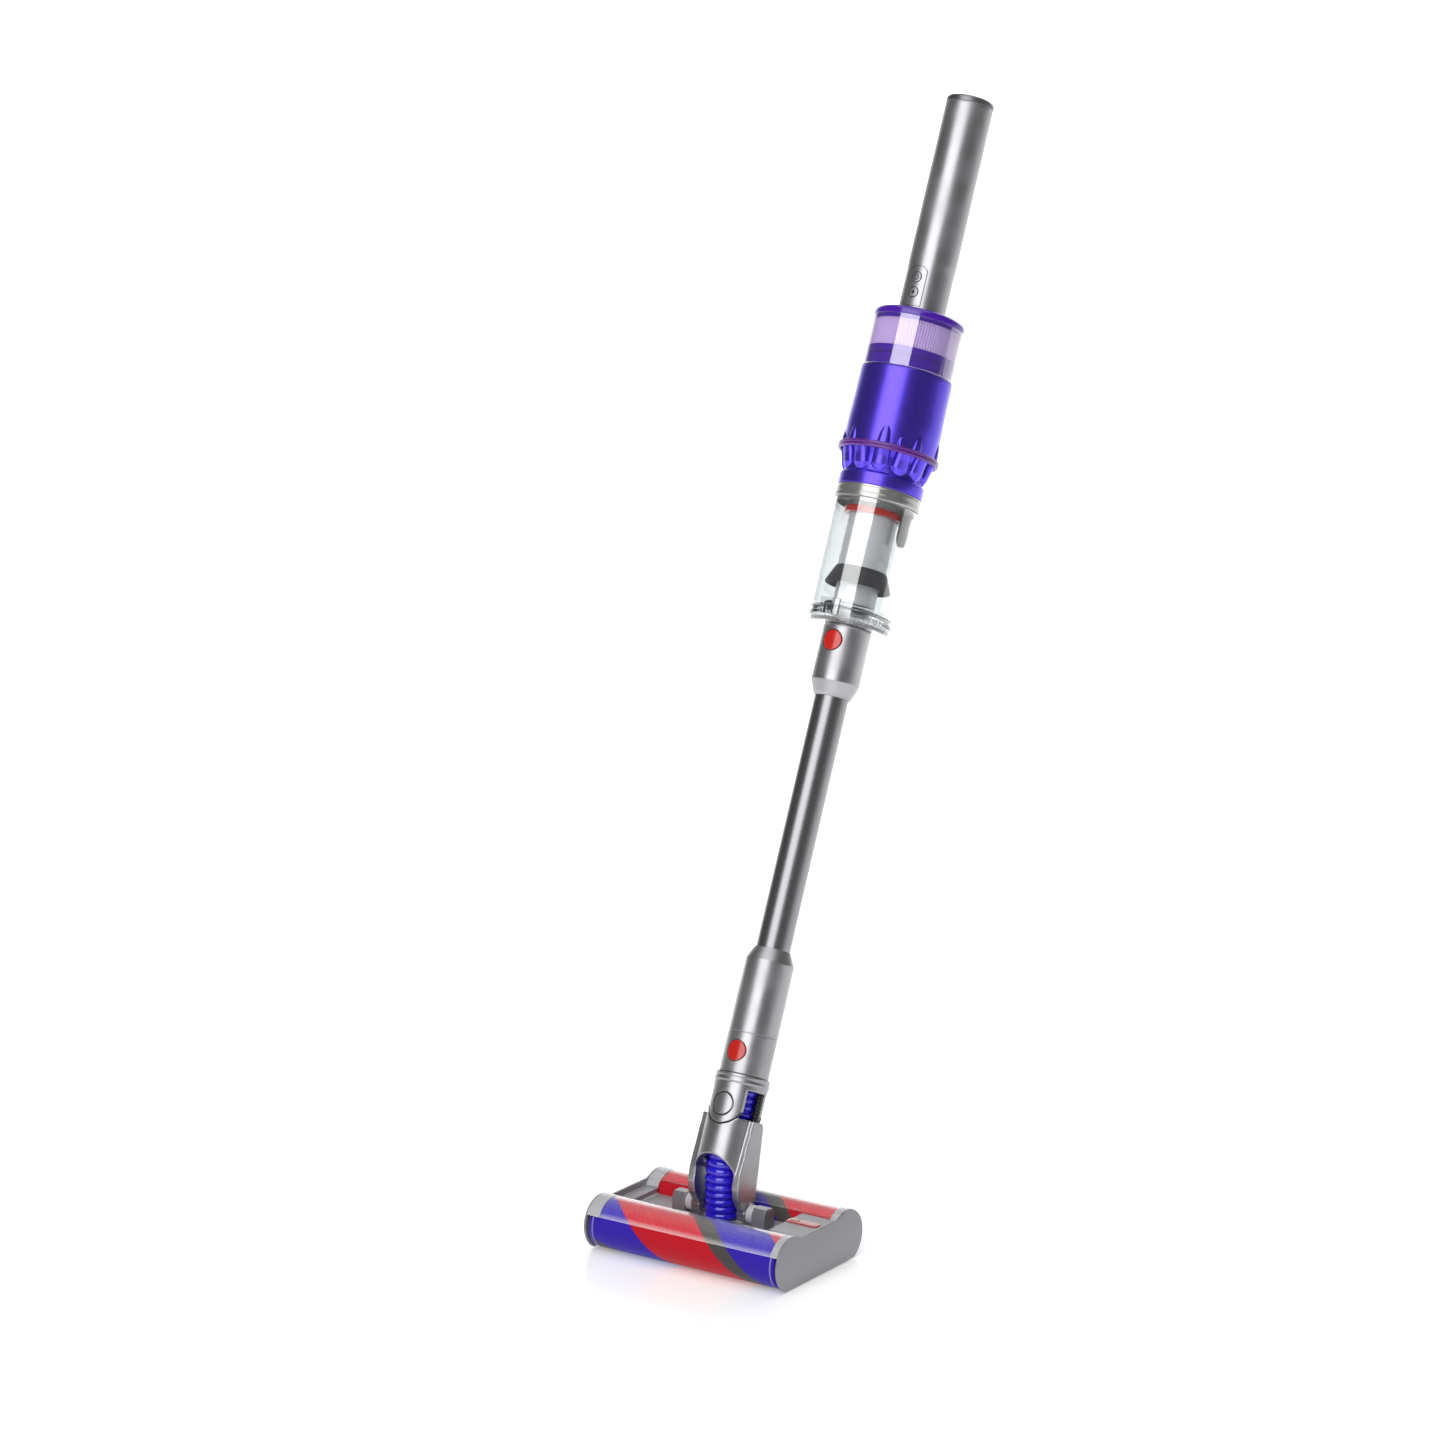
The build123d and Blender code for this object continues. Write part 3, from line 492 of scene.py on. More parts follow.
# A finish's name, its colour (a hex value or one of the user's), its roughness, how far its tone shifts and over how
# many millimetres, its grain's size and depth in millimetres, and the values of its other sockets
MOULDED = {
    # vapour-plated ABS: a soft satin metal with fine pearl flake under lacquer
    "nickel": ("satin_nickel_plated_abs", "nickel", 0.38, 0.03, 26, 0.35, 0.0008,
               {"Metallic": 0.95, "Coat Weight": 0.15, "Coat Roughness": 0.2}),
    "nickel_dark": ("dark_nickel_plated_abs", "#777579", 0.36, 0.04, 26, 0.35, 0.0008, {"Metallic": 0.95}),
    # metallic paint over ABS: deep colour with flake, under a clear coat
    "paint": ("metallic_purple_paint", "body", 0.31, 0.07, 0.5, 0.5, 0.0008,
              {"Metallic": 0.9, "Coat Weight": 0.25, "Coat Roughness": 0.15}),
    # tinted polycarbonate: deep colour under a soft gloss
    "magenta": ("tinted_magenta_polycarbonate", "#541478", 0.28, 0.12, 6, 0.8, 0.004, {"Coat Weight": 0.15}),
    "purple_gloss": ("glossy_purple_abs", "#400e90", 0.22, 0.08, 12, 0.8, 0.004, {"Coat Weight": 0.3}),
    # moulded ABS with a fine spark-eroded grain
    "housing": ("grey_moulded_abs", "housing", 0.36, 0.04, 30, 0.6, 0.003, {"Metallic": 0.3}),
    "housing_gloss": ("grey_glossy_abs", "#6f6e72", 0.16, 0.05, 16, 1.0, 0.002, {"Coat Weight": 0.3}),
    "plate": ("satin_grey_painted_abs", "#97969b", 0.36, 0.03, 40, 0.5, 0.002, {"Metallic": 0.45}),
    "dark": ("charcoal_moulded_abs", "#2c2b2e", 0.4, 0.1, 12, 0.6, 0.012, {}),
    "bush": ("pale_acetal", "#b9b9bd", 0.35, 0.04, 9, 0.6, 0.006, {}),
    # frosted polypropylene: lets light in but shows nothing behind it
    "frosted": ("frosted_polypropylene", "#e4e5e7", 0.25, 0.05, 5, 0.8, 0.02,
                {"Transmission Weight": 0.5, "Coat Weight": 0.3}),
    "red": ("glossy_red_abs", "button", 0.22, 0.08, 5, 0.6, 0.006, {"Coat Weight": 0.5}),
    # the latch is tinted, see-through red over grey, so it reads as faded
    "faded_red": ("faded_red_polycarbonate", "#b98a86", 0.3, 0.06, 4, 0.6, 0.006, {"Coat Weight": 0.3}),
    # blown thermoplastic hose: wet-looking blue over the ribs
    "hose": ("glossy_blue_elastomer", "hose", 0.15, 0.12, 7, 0.9, 0.002, {"Coat Weight": 0.6}),
    # rubber and gaskets: dull and nearly black; the next is as dark, and is print on the keys and painted shade in
    # gaps, grooves and vents
    "rubber": ("black_rubber", "#141416", 0.5, 0.2, 3, 0.5, 0.02, {}),
    "groove": ("shadow_gasket_rubber", "#1b1a1d", 0.7, 0.2, 3, 0.5, 0.01, {}),
    # turned steel, cell wrap and lacquered copper, for the parts inside
    "steel": ("turned_steel", "#9c9a98", 0.25, 0.05, 3, 0.3, 0.004, {"Metallic": 1.0}),
    "cells": ("cell_wrap_pvc", "#3b6a8c", 0.3, 0.05, 10, 0.8, 0.004, {}),
    "windings": ("lacquered_copper_winding", "#7a4a2c", 0.35, 0.15, 2, 0.5, 0.02, {"Metallic": 0.7}),
    # plated ABS, brushed round: a brighter silver than the nickel
    "collar": ("brushed_silver_abs", "#a6a5a3", 0.24, 0.05, 14, 0.5, 0.006, {"Metallic": 0.8, "Coat Weight": 0.3}),
    # folded filter paper: matt fibres along each fold
    "media": ("pleated_filter_paper", "#cbc2d6", 0.75, 0.08, 3, 0.4, 0.03, {"Sheen Weight": 0.2}),
}


def finishes():
    """Every finish of the vacuum, made once, by name."""
    made = bpy.app.driver_namespace.setdefault("vacuum_finishes", {})
    if made:
        return made
    c = colours()
    for key, (name, base, *rest, sockets) in MOULDED.items():
        made[key] = textured(name, linear(base) if base[0] == "#" else getattr(c, base), *rest, **sockets)
    # drawn aluminium tube: anodised, with die lines along its length
    aluminium = linear("#8c8b8e")
    made["tube"], tree, shader = new_finish("drawn_anodised_aluminium", aluminium, 0.3, Metallic=1.0)
    lines = spots(tree, 0.6, 2.0, (1, 1, 90))
    vary(tree, shader, aluminium, lines, 0.05, 0.27, 0.34)
    emboss(tree, shader, lines, 0.0008)
    # clear polycarbonate; seen edge-on, the wall gathers haze, as a thick moulding does
    made["clear"] = clear_plastic("clear_polycarbonate", linear("#eaedee"), 0.02, (0.94, 0.94, 0.95, 1),
                                  Coat_Weight=1.0, Coat_IOR=1.75)
    tree = made["clear"].node_tree
    edge = add(tree, "LayerWeight", {"Blend": 0.35})
    rim = add(tree, "MapRange", {"Value": edge.outputs["Facing"], "From Min": 0.6, "From Max": 1.0, "To Min": 1.0,
                                 "To Max": 0.8})
    tree.links.new(rim.outputs["Result"], tree.nodes["Principled BSDF"].inputs["Transmission Weight"])
    made["clear_purple"] = clear_plastic("lilac_tinted_polycarbonate", linear("#e6dcf2"), 0.04,
                                         (0.9, 0.86, 0.96, 1), Coat_Weight=1.0, Coat_IOR=1.7)
    # slightly milky polycarbonate with a painted reflection: by height it is whiter at the covers' lower lip and along
    # the top, where the studio lights' reflections lie, and clearer between
    made["cover"] = clear_plastic("milky_clear_polycarbonate", linear("#ffffff"), 0.09, (0.95, 0.95, 0.95, 1))
    tree = made["cover"].node_tree
    place = add(tree, "SeparateXYZ", {"Vector": add(tree, "TexCoord").outputs["Object"]})
    height = add(tree, "MapRange", {"Value": place.outputs["Z"], "From Min": 34.5 * MM, "From Max": 48 * MM})
    ramp = add(tree, "ValToRGB", {"Fac": height.outputs["Result"]})
    ramp.color_ramp.interpolation = "EASE"
    marks = ramp.color_ramp.elements
    marks[0].position, marks[0].color = 0.0, (0.84, 0.84, 0.84, 1)
    marks[1].position, marks[1].color = 1.0, (0.96, 0.96, 0.96, 1)
    marks.new(0.35).color = (0.985, 0.985, 0.985, 1)
    tree.links.new(ramp.outputs["Color"], tree.nodes["Principled BSDF"].inputs["Transmission Weight"])
    # etched steel mesh: holes 0.5 mm wide, 1.3 mm apart, drawn coarser than the real 0.6 mm so that they show
    made["shroud"], tree, shader = new_finish("etched_silver_mesh", linear("#dcdcde"), 0.28, Metallic=0.35,
                                              Coat_Weight=0.2)
    uv = add(tree, "SeparateXYZ", {"Vector": add(tree, "TexCoord").outputs["UV"]})
    up = add(tree, "Math", {0: uv.outputs["X"], 1: 2 * pi / (1.3 * MM)}, operation="MULTIPLY")
    around = add(tree, "Math", {0: uv.outputs["Y"], 1: 2 * pi * 108}, operation="MULTIPLY")
    waves = [add(tree, "Math", {0: s.outputs[0]}, operation="SINE") for s in (up, around)]
    dots = add(tree, "Math", {0: waves[0].outputs[0], 1: waves[1].outputs[0]}, operation="MULTIPLY")
    holes = add(tree, "Math", {0: dots.outputs[0], 1: 0.35}, operation="GREATER_THAN")
    vary(tree, shader, linear("#d2d2d4"), holes.outputs[0], -0.08, 0.24, 0.36)
    emboss(tree, shader, holes.outputs[0], -0.06)
    red, grey, purple = (tuple(s) for s in (c.stripe_red, c.stripe_grey, c.stripe_purple))
    made["front_pile"] = pile("front_roller_nylon_pile", [(0.0, red), (0.503, grey), (0.624, purple)], 0.259)
    made["rear_pile"] = pile("rear_roller_nylon_pile", [(0.0, red), (0.503, purple), (0.879, grey)], -0.448)
    return made


# ---- Stage
class VACUUM_OT_stage(bpy.types.Operator):
    """Make the floor, the studio lights and the camera"""

    bl_idname = "vacuum.stage"
    bl_label = "Studio"

    def execute(self, context):
        scene = context.scene
        camera = bpy.data.objects.new("camera", bpy.data.cameras.new("camera"))
        camera.data.lens, camera.data.sensor_width = 109.62, 36.0
        camera.location = (2.1205, -3.2417, 1.3403)
        camera.rotation_euler = (radians(77.1), 0, radians(34.67))
        camera.data.clip_end = 200
        scene.collection.objects.link(camera)
        scene.camera = camera
        scene.view_settings.view_transform = "Standard"

        edge = 30.0
        mesh = bpy.data.meshes.new("floor")
        mesh.from_pydata([(-edge, -edge, 0), (edge, -edge, 0), (edge, edge, 0), (-edge, edge, 0)], [], [(0, 1, 2, 3)])
        floor = bpy.data.objects.new("floor", mesh)
        scene.collection.objects.link(floor)
        # white acrylic sheet: bright, with a soft mirror image close to what stands on it
        sheet = textured("white_acrylic_sheet", linear("#f6f6f6"), 0.13, 0.005, 60, 2, 0.004,
                         Emission_Color=(1, 1, 1, 1))
        tree = sheet.node_tree
        # the sheet glows white, and glows less near the vacuum: a painted shadow, darker round the vacuum where its
        # soft shadow falls
        away = add(tree, "VectorMath", {0: add(tree, "TexCoord").outputs["Object"],
                                        1: (0.0, float(PIVOT[1]), 0.0)}, operation="DISTANCE")
        glow_with_painted_shadow = add(tree, "MapRange", {"Value": away.outputs["Value"], "From Min": 0.15, "From Max": 1.6,
                                      "To Min": 0.22, "To Max": 1.0}, interpolation_type="SMOOTHSTEP")
        tree.links.new(glow_with_painted_shadow.outputs["Result"], tree.nodes["Principled BSDF"].inputs["Emission Strength"])
        mesh.materials.append(sheet)

        world = bpy.data.worlds.new("studio")
        scene.world = world
        world.use_nodes = True
        tree = world.node_tree
        output = tree.nodes["World Output"]
        # behind the vacuum the studio is a white sweep, and elsewhere it is dim: rims shine and flanks stay dark
        place = add(tree, "TexCoord")
        sweep = (-0.57, 0.82, -0.12)
        facing = add(tree, "VectorMath", {0: place.outputs["Generated"], 1: sweep}, operation="DOT_PRODUCT")
        lit = add(tree, "MapRange", {"Value": facing.outputs["Value"], "From Min": 0.66, "From Max": 0.93,
                                     "To Min": 0.13, "To Max": 1.25}, interpolation_type="SMOOTHSTEP")
        dim = add(tree, "Background", {"Color": (1, 1, 1, 1), "Strength": lit.outputs["Result"]})
        rays = add(tree, "LightPath")
        white = add(tree, "Background", {"Color": (1, 1, 1, 1), "Strength": 1.05})
        mix = add(tree, "MixShader", {0: rays.outputs["Is Camera Ray"], 1: dim.outputs[0],
                                      2: white.outputs[0]})
        tree.links.new(mix.outputs["Shader"], output.inputs["Surface"])

        # name, azimuth from the front towards +X, elevation, distance, width, height, power
        lamps = (
            ("key", 8, 34, 2.8, 2.4, 3.2, sizes().key_power),
            ("back", 180, 30, 3.2, 2.4, 2.6, 40.0),
            ("top", 20, 88, 3.2, 3.0, 3.0, 42.0),
        )
        aim = np.array([0.0, -0.05, 0.45])
        for name, azimuth, elevation, distance, width, height, power in lamps:
            lamp = bpy.data.lights.new(name, "AREA")
            lamp.shape, lamp.size, lamp.size_y, lamp.energy = "RECTANGLE", width, height, power
            holder = bpy.data.objects.new(name, lamp)
            a, e = radians(azimuth), radians(elevation)
            out = np.array([sin(a) * cos(e), -cos(a) * cos(e), sin(e)])
            holder.location = aim + out * distance
            holder.rotation_euler = (pi / 2 - e, 0, a)
            scene.collection.objects.link(holder)
        return {"FINISHED"}


# ---- Head
COVER_IN, COVER_OUT = 23.5, 24.7
FRONT = centre_of("front_roller_plush")
REAR = centre_of("rear_roller_plush")
ROLLER_OFF = float(REAR[1] - FRONT[1]) / 2 / MM
ROLLER_Z = float(FRONT[2]) / MM
ROLLER_END = float(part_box("front_roller_plush")[1][0]) / MM
FRAME_END = float(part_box("right_end_plate")[1][0]) / MM - 2


class VACUUM_OT_rollers(bpy.types.Operator):
    """Make both soft rollers with their striped pile"""

    bl_idname = "vacuum.rollers"
    bl_label = "Rollers"

    def execute(self, context):
        for place, centre in (("front", FRONT), ("rear", REAR)):
            # the pile's outline is a straight line with its ends rolled over, held by rows 4 mm apart
            xs = np.linspace(-ROLLER_END, ROLLER_END, 51)
            nap = [(23, x) for x in xs[1:-1]]
            outline = [(19, -ROLLER_END), (22.2, -ROLLER_END), (22.8, -ROLLER_END + 0.4)] + nap
            outline += [(22.8, ROLLER_END - 0.4), (22.2, ROLLER_END), (19, ROLLER_END)]
            piece(f"{place}_roller_pile", [turned_on_x(outline, centre[1], centre[2], 144)],
                  f"{place}_pile", "roller_plush", f"{place}_roller_plush", crease=70)
        return {"FINISHED"}


def cover_loop(start, stop, front, inner=COVER_IN, outer=COVER_OUT, count=40):
    """A cover's cross-section: the outer arc up, the inner arc back, joined by half-round lips."""
    sense = -1 if front else 1
    up = np.radians(np.linspace(start, stop, count))
    middle, half = (inner + outer) / 2, (outer - inner) / 2
    arcs = [(outer, a) for a in up]
    arcs += [(middle + half * cos(t), up[-1] + half * sin(t) / middle) for t in np.linspace(0.3, pi - 0.3, 5)]
    arcs += [(inner, a) for a in up[::-1]]
    arcs += [(middle - half * cos(t), up[0] - half * sin(t) / middle) for t in np.linspace(0.3, pi - 0.3, 5)]
    return np.array([(sense * (ROLLER_OFF + r * cos(a)), ROLLER_Z + r * sin(a)) for r, a in arcs])


class VACUUM_OT_covers(bpy.types.Operator):
    """Make the clear roller covers and their frosted end bands"""

    bl_idname = "vacuum.covers"
    bl_label = "Covers"

    def execute(self, context):
        for place in ("front", "rear"):
            low, high = (float(c[0]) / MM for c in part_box(f"{place}_cover"))
            piece(f"clear_{place}_cover", [along_head(cover_loop(29, 125, place == "front"),
                                                      rounded_levels(low, high, 0.15, steps=2))],
                  "cover", "clear_plastic", f"{place}_cover")
        left, right = (float(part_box("front_cover")[k][0]) / MM for k in (0, 1))
        shells = []
        for front in (True, False):
            loop = cover_loop(29, 150, front, COVER_IN, COVER_OUT + 0.1)
            for low, high in ((-FRAME_END, left), (right, FRAME_END)):
                shells.append(along_head(loop, rounded_levels(low, high, 0.3, steps=3)))
        piece("frosted_end_bands", shells, "frosted", "frosted_plastic", "cover_end_bands")
        return {"FINISHED"}


def plate_loop(grow=0.0):
    """The end plate's outline, anticlockwise: flat below, round over each roller, and dipping to the deck between
    them by the smooth larger of the two heights."""
    outer = COVER_OUT + grow
    deck, blend = 43 + grow, 3.0
    reach = ROLLER_OFF + outer
    bottom = 1.0 - grow
    sag = (outer ** 2 - (ROLLER_Z - bottom) ** 2) ** 0.5
    turn = np.linspace(-np.arcsin((ROLLER_Z - bottom) / outer), pi / 2, 44)
    right = np.stack([ROLLER_OFF + outer * np.cos(turn), ROLLER_Z + outer * np.sin(turn)], 1)
    y = np.linspace(ROLLER_OFF, 0, 60, endpoint=False)[1:]
    arch = ROLLER_Z + np.sqrt(np.maximum(outer ** 2 - (ROLLER_OFF - y) ** 2, 0))
    arch = np.where(ROLLER_OFF - y < outer, arch, 0)
    h = np.maximum(blend - np.abs(arch - deck), 0) / blend
    dip = np.stack([y, np.maximum(arch, deck) + h * h * blend / 4], 1)
    half = np.concatenate([right, dip])
    half = half[half[:, 1] >= bottom - 1e-6]
    left = half[::-1] * np.array([-1, 1])
    foot = np.stack([np.linspace(-ROLLER_OFF - sag, ROLLER_OFF + sag, 24)[1:-1], np.full(22, bottom)], 1)
    return np.concatenate([half, left, foot])


class VACUUM_OT_chassis(bpy.types.Operator):
    """Make the head's frame, end plates, trunnions and latch"""

    bl_idname = "vacuum.chassis"
    bl_label = "Chassis"

    def execute(self, context):
        piece("head_chassis", moulded("head_frame", 0.9, 4, upright=True), "housing", "grey_housing", "head_frame")
        piece("left_plate", [along_head(plate_loop(), rounded_levels(-FRAME_END - 2, -FRAME_END, 0.8))],
              "plate", "grey_housing", "left_end_plate")
        pins = [turned_on_x(softened([(0, 88), (4, 88), (4, FRAME_END), (0, FRAME_END)], 0.5), c[1], c[2], 40)
                for c in (FRONT, REAR)]
        piece("right_plate", [along_head(plate_loop(), rounded_levels(FRAME_END, FRAME_END + 2, 0.8))] + pins,
              "plate", "grey_housing", "right_end_plate")
        block = softened([(-8.5, 33), (8.5, 33), (8.5, 45), (5, 51), (-5, 51), (-8.5, 45)], 2.5, 6)
        shells = [along_head(block, rounded_levels(low, low + 14, 1.0)) for low in (-50, 36)]
        piece("trunnion_housings", shells, "housing_gloss", "dark_housing", "trunnion_blocks")
        bush = softened([(4.05, 29.4), (8.3, 29.4), (8.3, 36), (4.05, 36)], 0.5)
        shells = [turned_on_x(bush * np.array([1, s]), PIVOT[1], PIVOT[2], 64) for s in (1, -1)]
        piece("trunnion_rings", shells, "bush", "light_bush", "trunnion_bushes")

        low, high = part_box("end_cap_latch")
        x, y = (low[0] + high[0]) / 2 / MM, ((low[1] + high[1]) / 2 - PIVOT[1]) / MM
        slab = softened([(x - 15.5, y - 4), (x + 15.5, y - 4), (x + 15.5, y + 4), (x - 15.5, y + 4)], 3.4, 6)
        well = softened([(x - 16.6, y - 5.1), (x + 16.6, y - 5.1), (x + 16.6, y + 5.1), (x - 16.6, y + 5.1)], 4.2, 6)
        pill = softened([(x - 13.5, y - 2.5), (x - 4.5, y - 2.5), (x - 4.5, y + 2.5), (x - 13.5, y + 2.5)], 2.4, 6)
        piece("latch_slab", [up_from_head(slab, rounded_levels(43.1, 44.3, 0.3, False)),
                             up_from_head(pill, rounded_levels(44.3, 45.1, 0.3, False))],
              "faded_red", "red_plastic", "end_cap_latch")
        piece("latch_surround", [up_from_head(well, rounded_levels(42.9, 43.5, 0.2, False))], "red", "red_plastic",
              body="head")
        return {"FINISHED"}


# ---- Neck
HOSE_RADIUS, HOSE_WALL = 16.2, 1.2
HOSE_SEAM, HOSE_TOP = 84, 111.8
HOSE_BEND = 95
CONDUIT_OUT = 19.6      # the conduit's two strands run this far from the stick's axis
CONDUIT_RIB = 3.6       # one rib of the conduit to the next


def hose_line(s):
    """Centre and tangent angle of the hose at a length s from the head: upright, then an arc, then along the stick."""
    bend_radius, start = HOSE_BEND * MM, float(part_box("hose_lower")[0][2])
    corner = AXIS_OFFSET / tan(LEAN)
    tangent = bend_radius * tan(LEAN / 2)
    top = FOOT + ALONG * corner
    straight = top[2] - tangent - start
    turn = np.clip((s - straight) / bend_radius, 0, LEAN)
    rest = np.maximum(s - straight - bend_radius * LEAN, 0)
    y = PIVOT[1] + bend_radius * (1 - np.cos(turn)) + rest * sin(LEAN)
    z = start + np.minimum(s, straight) + bend_radius * np.sin(turn) + rest * cos(LEAN)
    return np.stack([0 * y, y, z], -1), turn, straight + bend_radius * LEAN - corner - tangent


def ribbed(low, high, radius, pitch, depth, wall, columns=72):
    """A ribbed hose round its centre line: its outer radius is radius - depth + depth |sin(pi s / pitch)|^0.55, and its
    bore is smooth."""
    s = np.arange(low, high, pitch / 16)
    outer = radius - depth + depth * np.abs(np.sin(pi * s / pitch)) ** 0.55
    back = s[::-4]
    s = np.concatenate([s, back])
    r = np.concatenate([outer, np.full(len(back), radius - depth - wall)])[:, None, None]
    centre, turn, _ = hose_line(s)
    side = np.stack([0 * turn, np.cos(turn), -np.sin(turn)], -1)[:, None]
    a = np.linspace(0, 2 * pi, columns, endpoint=False)[None, :, None]
    return surface(centre[:, None] + r * (np.sin(a) * ACROSS + np.cos(a) * side))


class VACUUM_OT_hose(bpy.types.Operator):
    """Make the ribbed hose and the wiring conduit beside it"""

    bl_idname = "vacuum.hose"
    bl_label = "Hose"

    def execute(self, context):
        size = sizes()
        shift = float(hose_line(np.array([0.0]))[2])
        seam, top = HOSE_SEAM * MM + shift, HOSE_TOP * MM + shift
        section = (HOSE_RADIUS * MM, size.hose_pitch, size.hose_depth, HOSE_WALL * MM)
        lower = piece("ribbed_hose_lower", [ribbed(0, seam, *section)], "hose",
                      "hose_blue", "hose_lower", body=False)
        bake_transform(lower)
        upper = piece("ribbed_hose_upper", [ribbed(seam, top, *section)], "hose",
                      "hose_blue", "hose_upper", body=False)
        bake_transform(upper)
        stations = np.linspace(79.8, 104.5, 90)
        shells = []
        for angle in (120, 103):
            a = radians(angle)
            turn = np.linspace(0, 2 * pi, 20, endpoint=False)
            middle = on_stick(np.full_like(stations, CONDUIT_OUT * MM), stations * MM, np.full_like(stations, a))
            r = (1.6 + 0.9 * np.abs(np.sin(pi * stations / CONDUIT_RIB)) ** 0.6)[:, None, None] * MM
            ring = np.cos(turn)[None, :, None] * FORWARD + np.sin(turn)[None, :, None] * ACROSS
            shells.append(surface(middle[:, None] + r * ring, rows_close=False, caps=True))
        conduit = piece("ribbed_conduit", shells, "rubber", "black_rubber", "power_conduit", body=False)
        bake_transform(conduit)
        return {"FINISHED"}


def line_on_barrel(radius, barrel, start, stop, side, width, station=SWING_STATION, columns=8):
    """A thin line lying on the barrel: a circle of a radius round the swing axis, from one angle to another, wrapped
    so that each point stands sqrt(barrel squared - across squared) out."""
    t = np.radians(np.linspace(start, stop, 90))
    a, b = radius * np.sin(t), radius * np.cos(t)
    out = np.sqrt(barrel ** 2 - a ** 2) * side
    points = on_stick(0 * a, (b + station) * MM, 0 * a) + (ACROSS * a[:, None] + FORWARD * out[:, None]) * MM
    closed = stop - start >= 360
    return tube(points[:-1] if closed else points, width / 2 * MM, columns, closed)


class VACUUM_OT_neck(bpy.types.Operator):
    """Make the yoke, the neck and its knuckle caps"""

    bl_idname = "vacuum.neck"
    bl_label = "Yoke and neck"

    def execute(self, context):
        piece("yoke_casting", moulded("yoke", 0.8, 8), "nickel", "satin_nickel", "yoke")
        piece("neck_sleeve", moulded("neck", 0.6, 5), "nickel", "satin_nickel", "neck")
        shells = [on_barrel(circle(9.8), SWING_STATION, 24.6, 22.65, 0.5, side) for side in (1, -1)]
        piece("knuckle_discs", shells, "nickel", "satin_nickel", "knuckle_caps")
        # dark lines round the knuckle caps and along the tongue's groove are painted shade in their gaps
        lines = [line_on_barrel(10.35, 24.35, 0, 360, side, 0.9) for side in (1, -1)]
        piece("knuckle_grooves", lines, "groove", "dark_housing", body="neck")
        lines = [line_on_barrel(17.5, 24.2, 104, 256, side, 1.0) for side in (1, -1)]
        piece("tongue_grooves", lines, "groove", "dark_housing", body="yoke")
        return {"FINISHED"}


# ---- Wand
BUTTON_STATIONS = {"lower": 137.7, "upper": 516.0}


def bore_forward(radius, station, near=10.0, far=32.0):
    """A round plug pointing forward from the stick's axis, to cut a hole with."""
    turn = np.linspace(0, 2 * pi, 64, endpoint=False)
    ring = (ACROSS * np.cos(turn)[:, None] + ALONG * np.sin(turn)[:, None]) * radius * MM
    base = FOOT + ALONG * station * MM
    return surface(np.array([base + FORWARD * d * MM + ring for d in (near, far)]), rows_close=False, caps=True)


class VACUUM_OT_wand(bpy.types.Operator):
    """Make the wand tube, its connectors and the red release buttons"""

    bl_idname = "vacuum.wand"
    bl_label = "Wand"

    def execute(self, context):
        lower = [(18.9, 118.2), (22.5, 118.2), (22.4, 154.3), (21.9, 154.5), (21.9, 155.3), (22.4, 155.5),
                 (22.2, 221.9), (16.6, 233.6), (15.65, 233.6), (15.65, 158), (18.9, 158)]
        hole = bore_forward(9.75, BUTTON_STATIONS["lower"])
        piece("lower_wand_connector", bored("lower", [turned(softened(lower, 0.7))], [hole]), "nickel",
              "satin_nickel", "lower_connector", crease=32)
        upper = [(15.65, 466.5), (16.4, 466.5), (18.1, 469.2), (22.2, 480.1), (22.1, 530.5), (17.4, 530.5), (17.4, 546),
                 (15.9, 546), (15.9, 527.5), (18, 527.5), (18, 500), (15.65, 500)]
        hole = bore_forward(9.75, BUTTON_STATIONS["upper"])
        piece("upper_wand_connector", bored("upper", [turned(softened(upper, 0.7))], [hole]), "nickel",
              "satin_nickel", "upper_connector", crease=32)
        rows = [(15.6, s) for s in np.linspace(160, 500, 35)]
        tube_outline = rows + [(14.2, 500), (14.2, 160)]
        piece("aluminium_wand", [turned(tube_outline)], "tube", "wand_aluminium", "wand_tube")
        for name, station in BUTTON_STATIONS.items():
            piece(f"{name}_red_button", [on_barrel(circle(9.35, 64), station, 22.8, 20.7, 0.6)], "red",
                  "red_plastic", f"{name}_release_button")
            # a dark ring round each button is painted shade in its gap
            rim = line_on_barrel(9.75, 22.25, 0, 360, 1, 0.7, station)
            piece(f"{name}_button_rim", [rim], "groove", "dark_housing", body="wand")
        return {"FINISHED"}


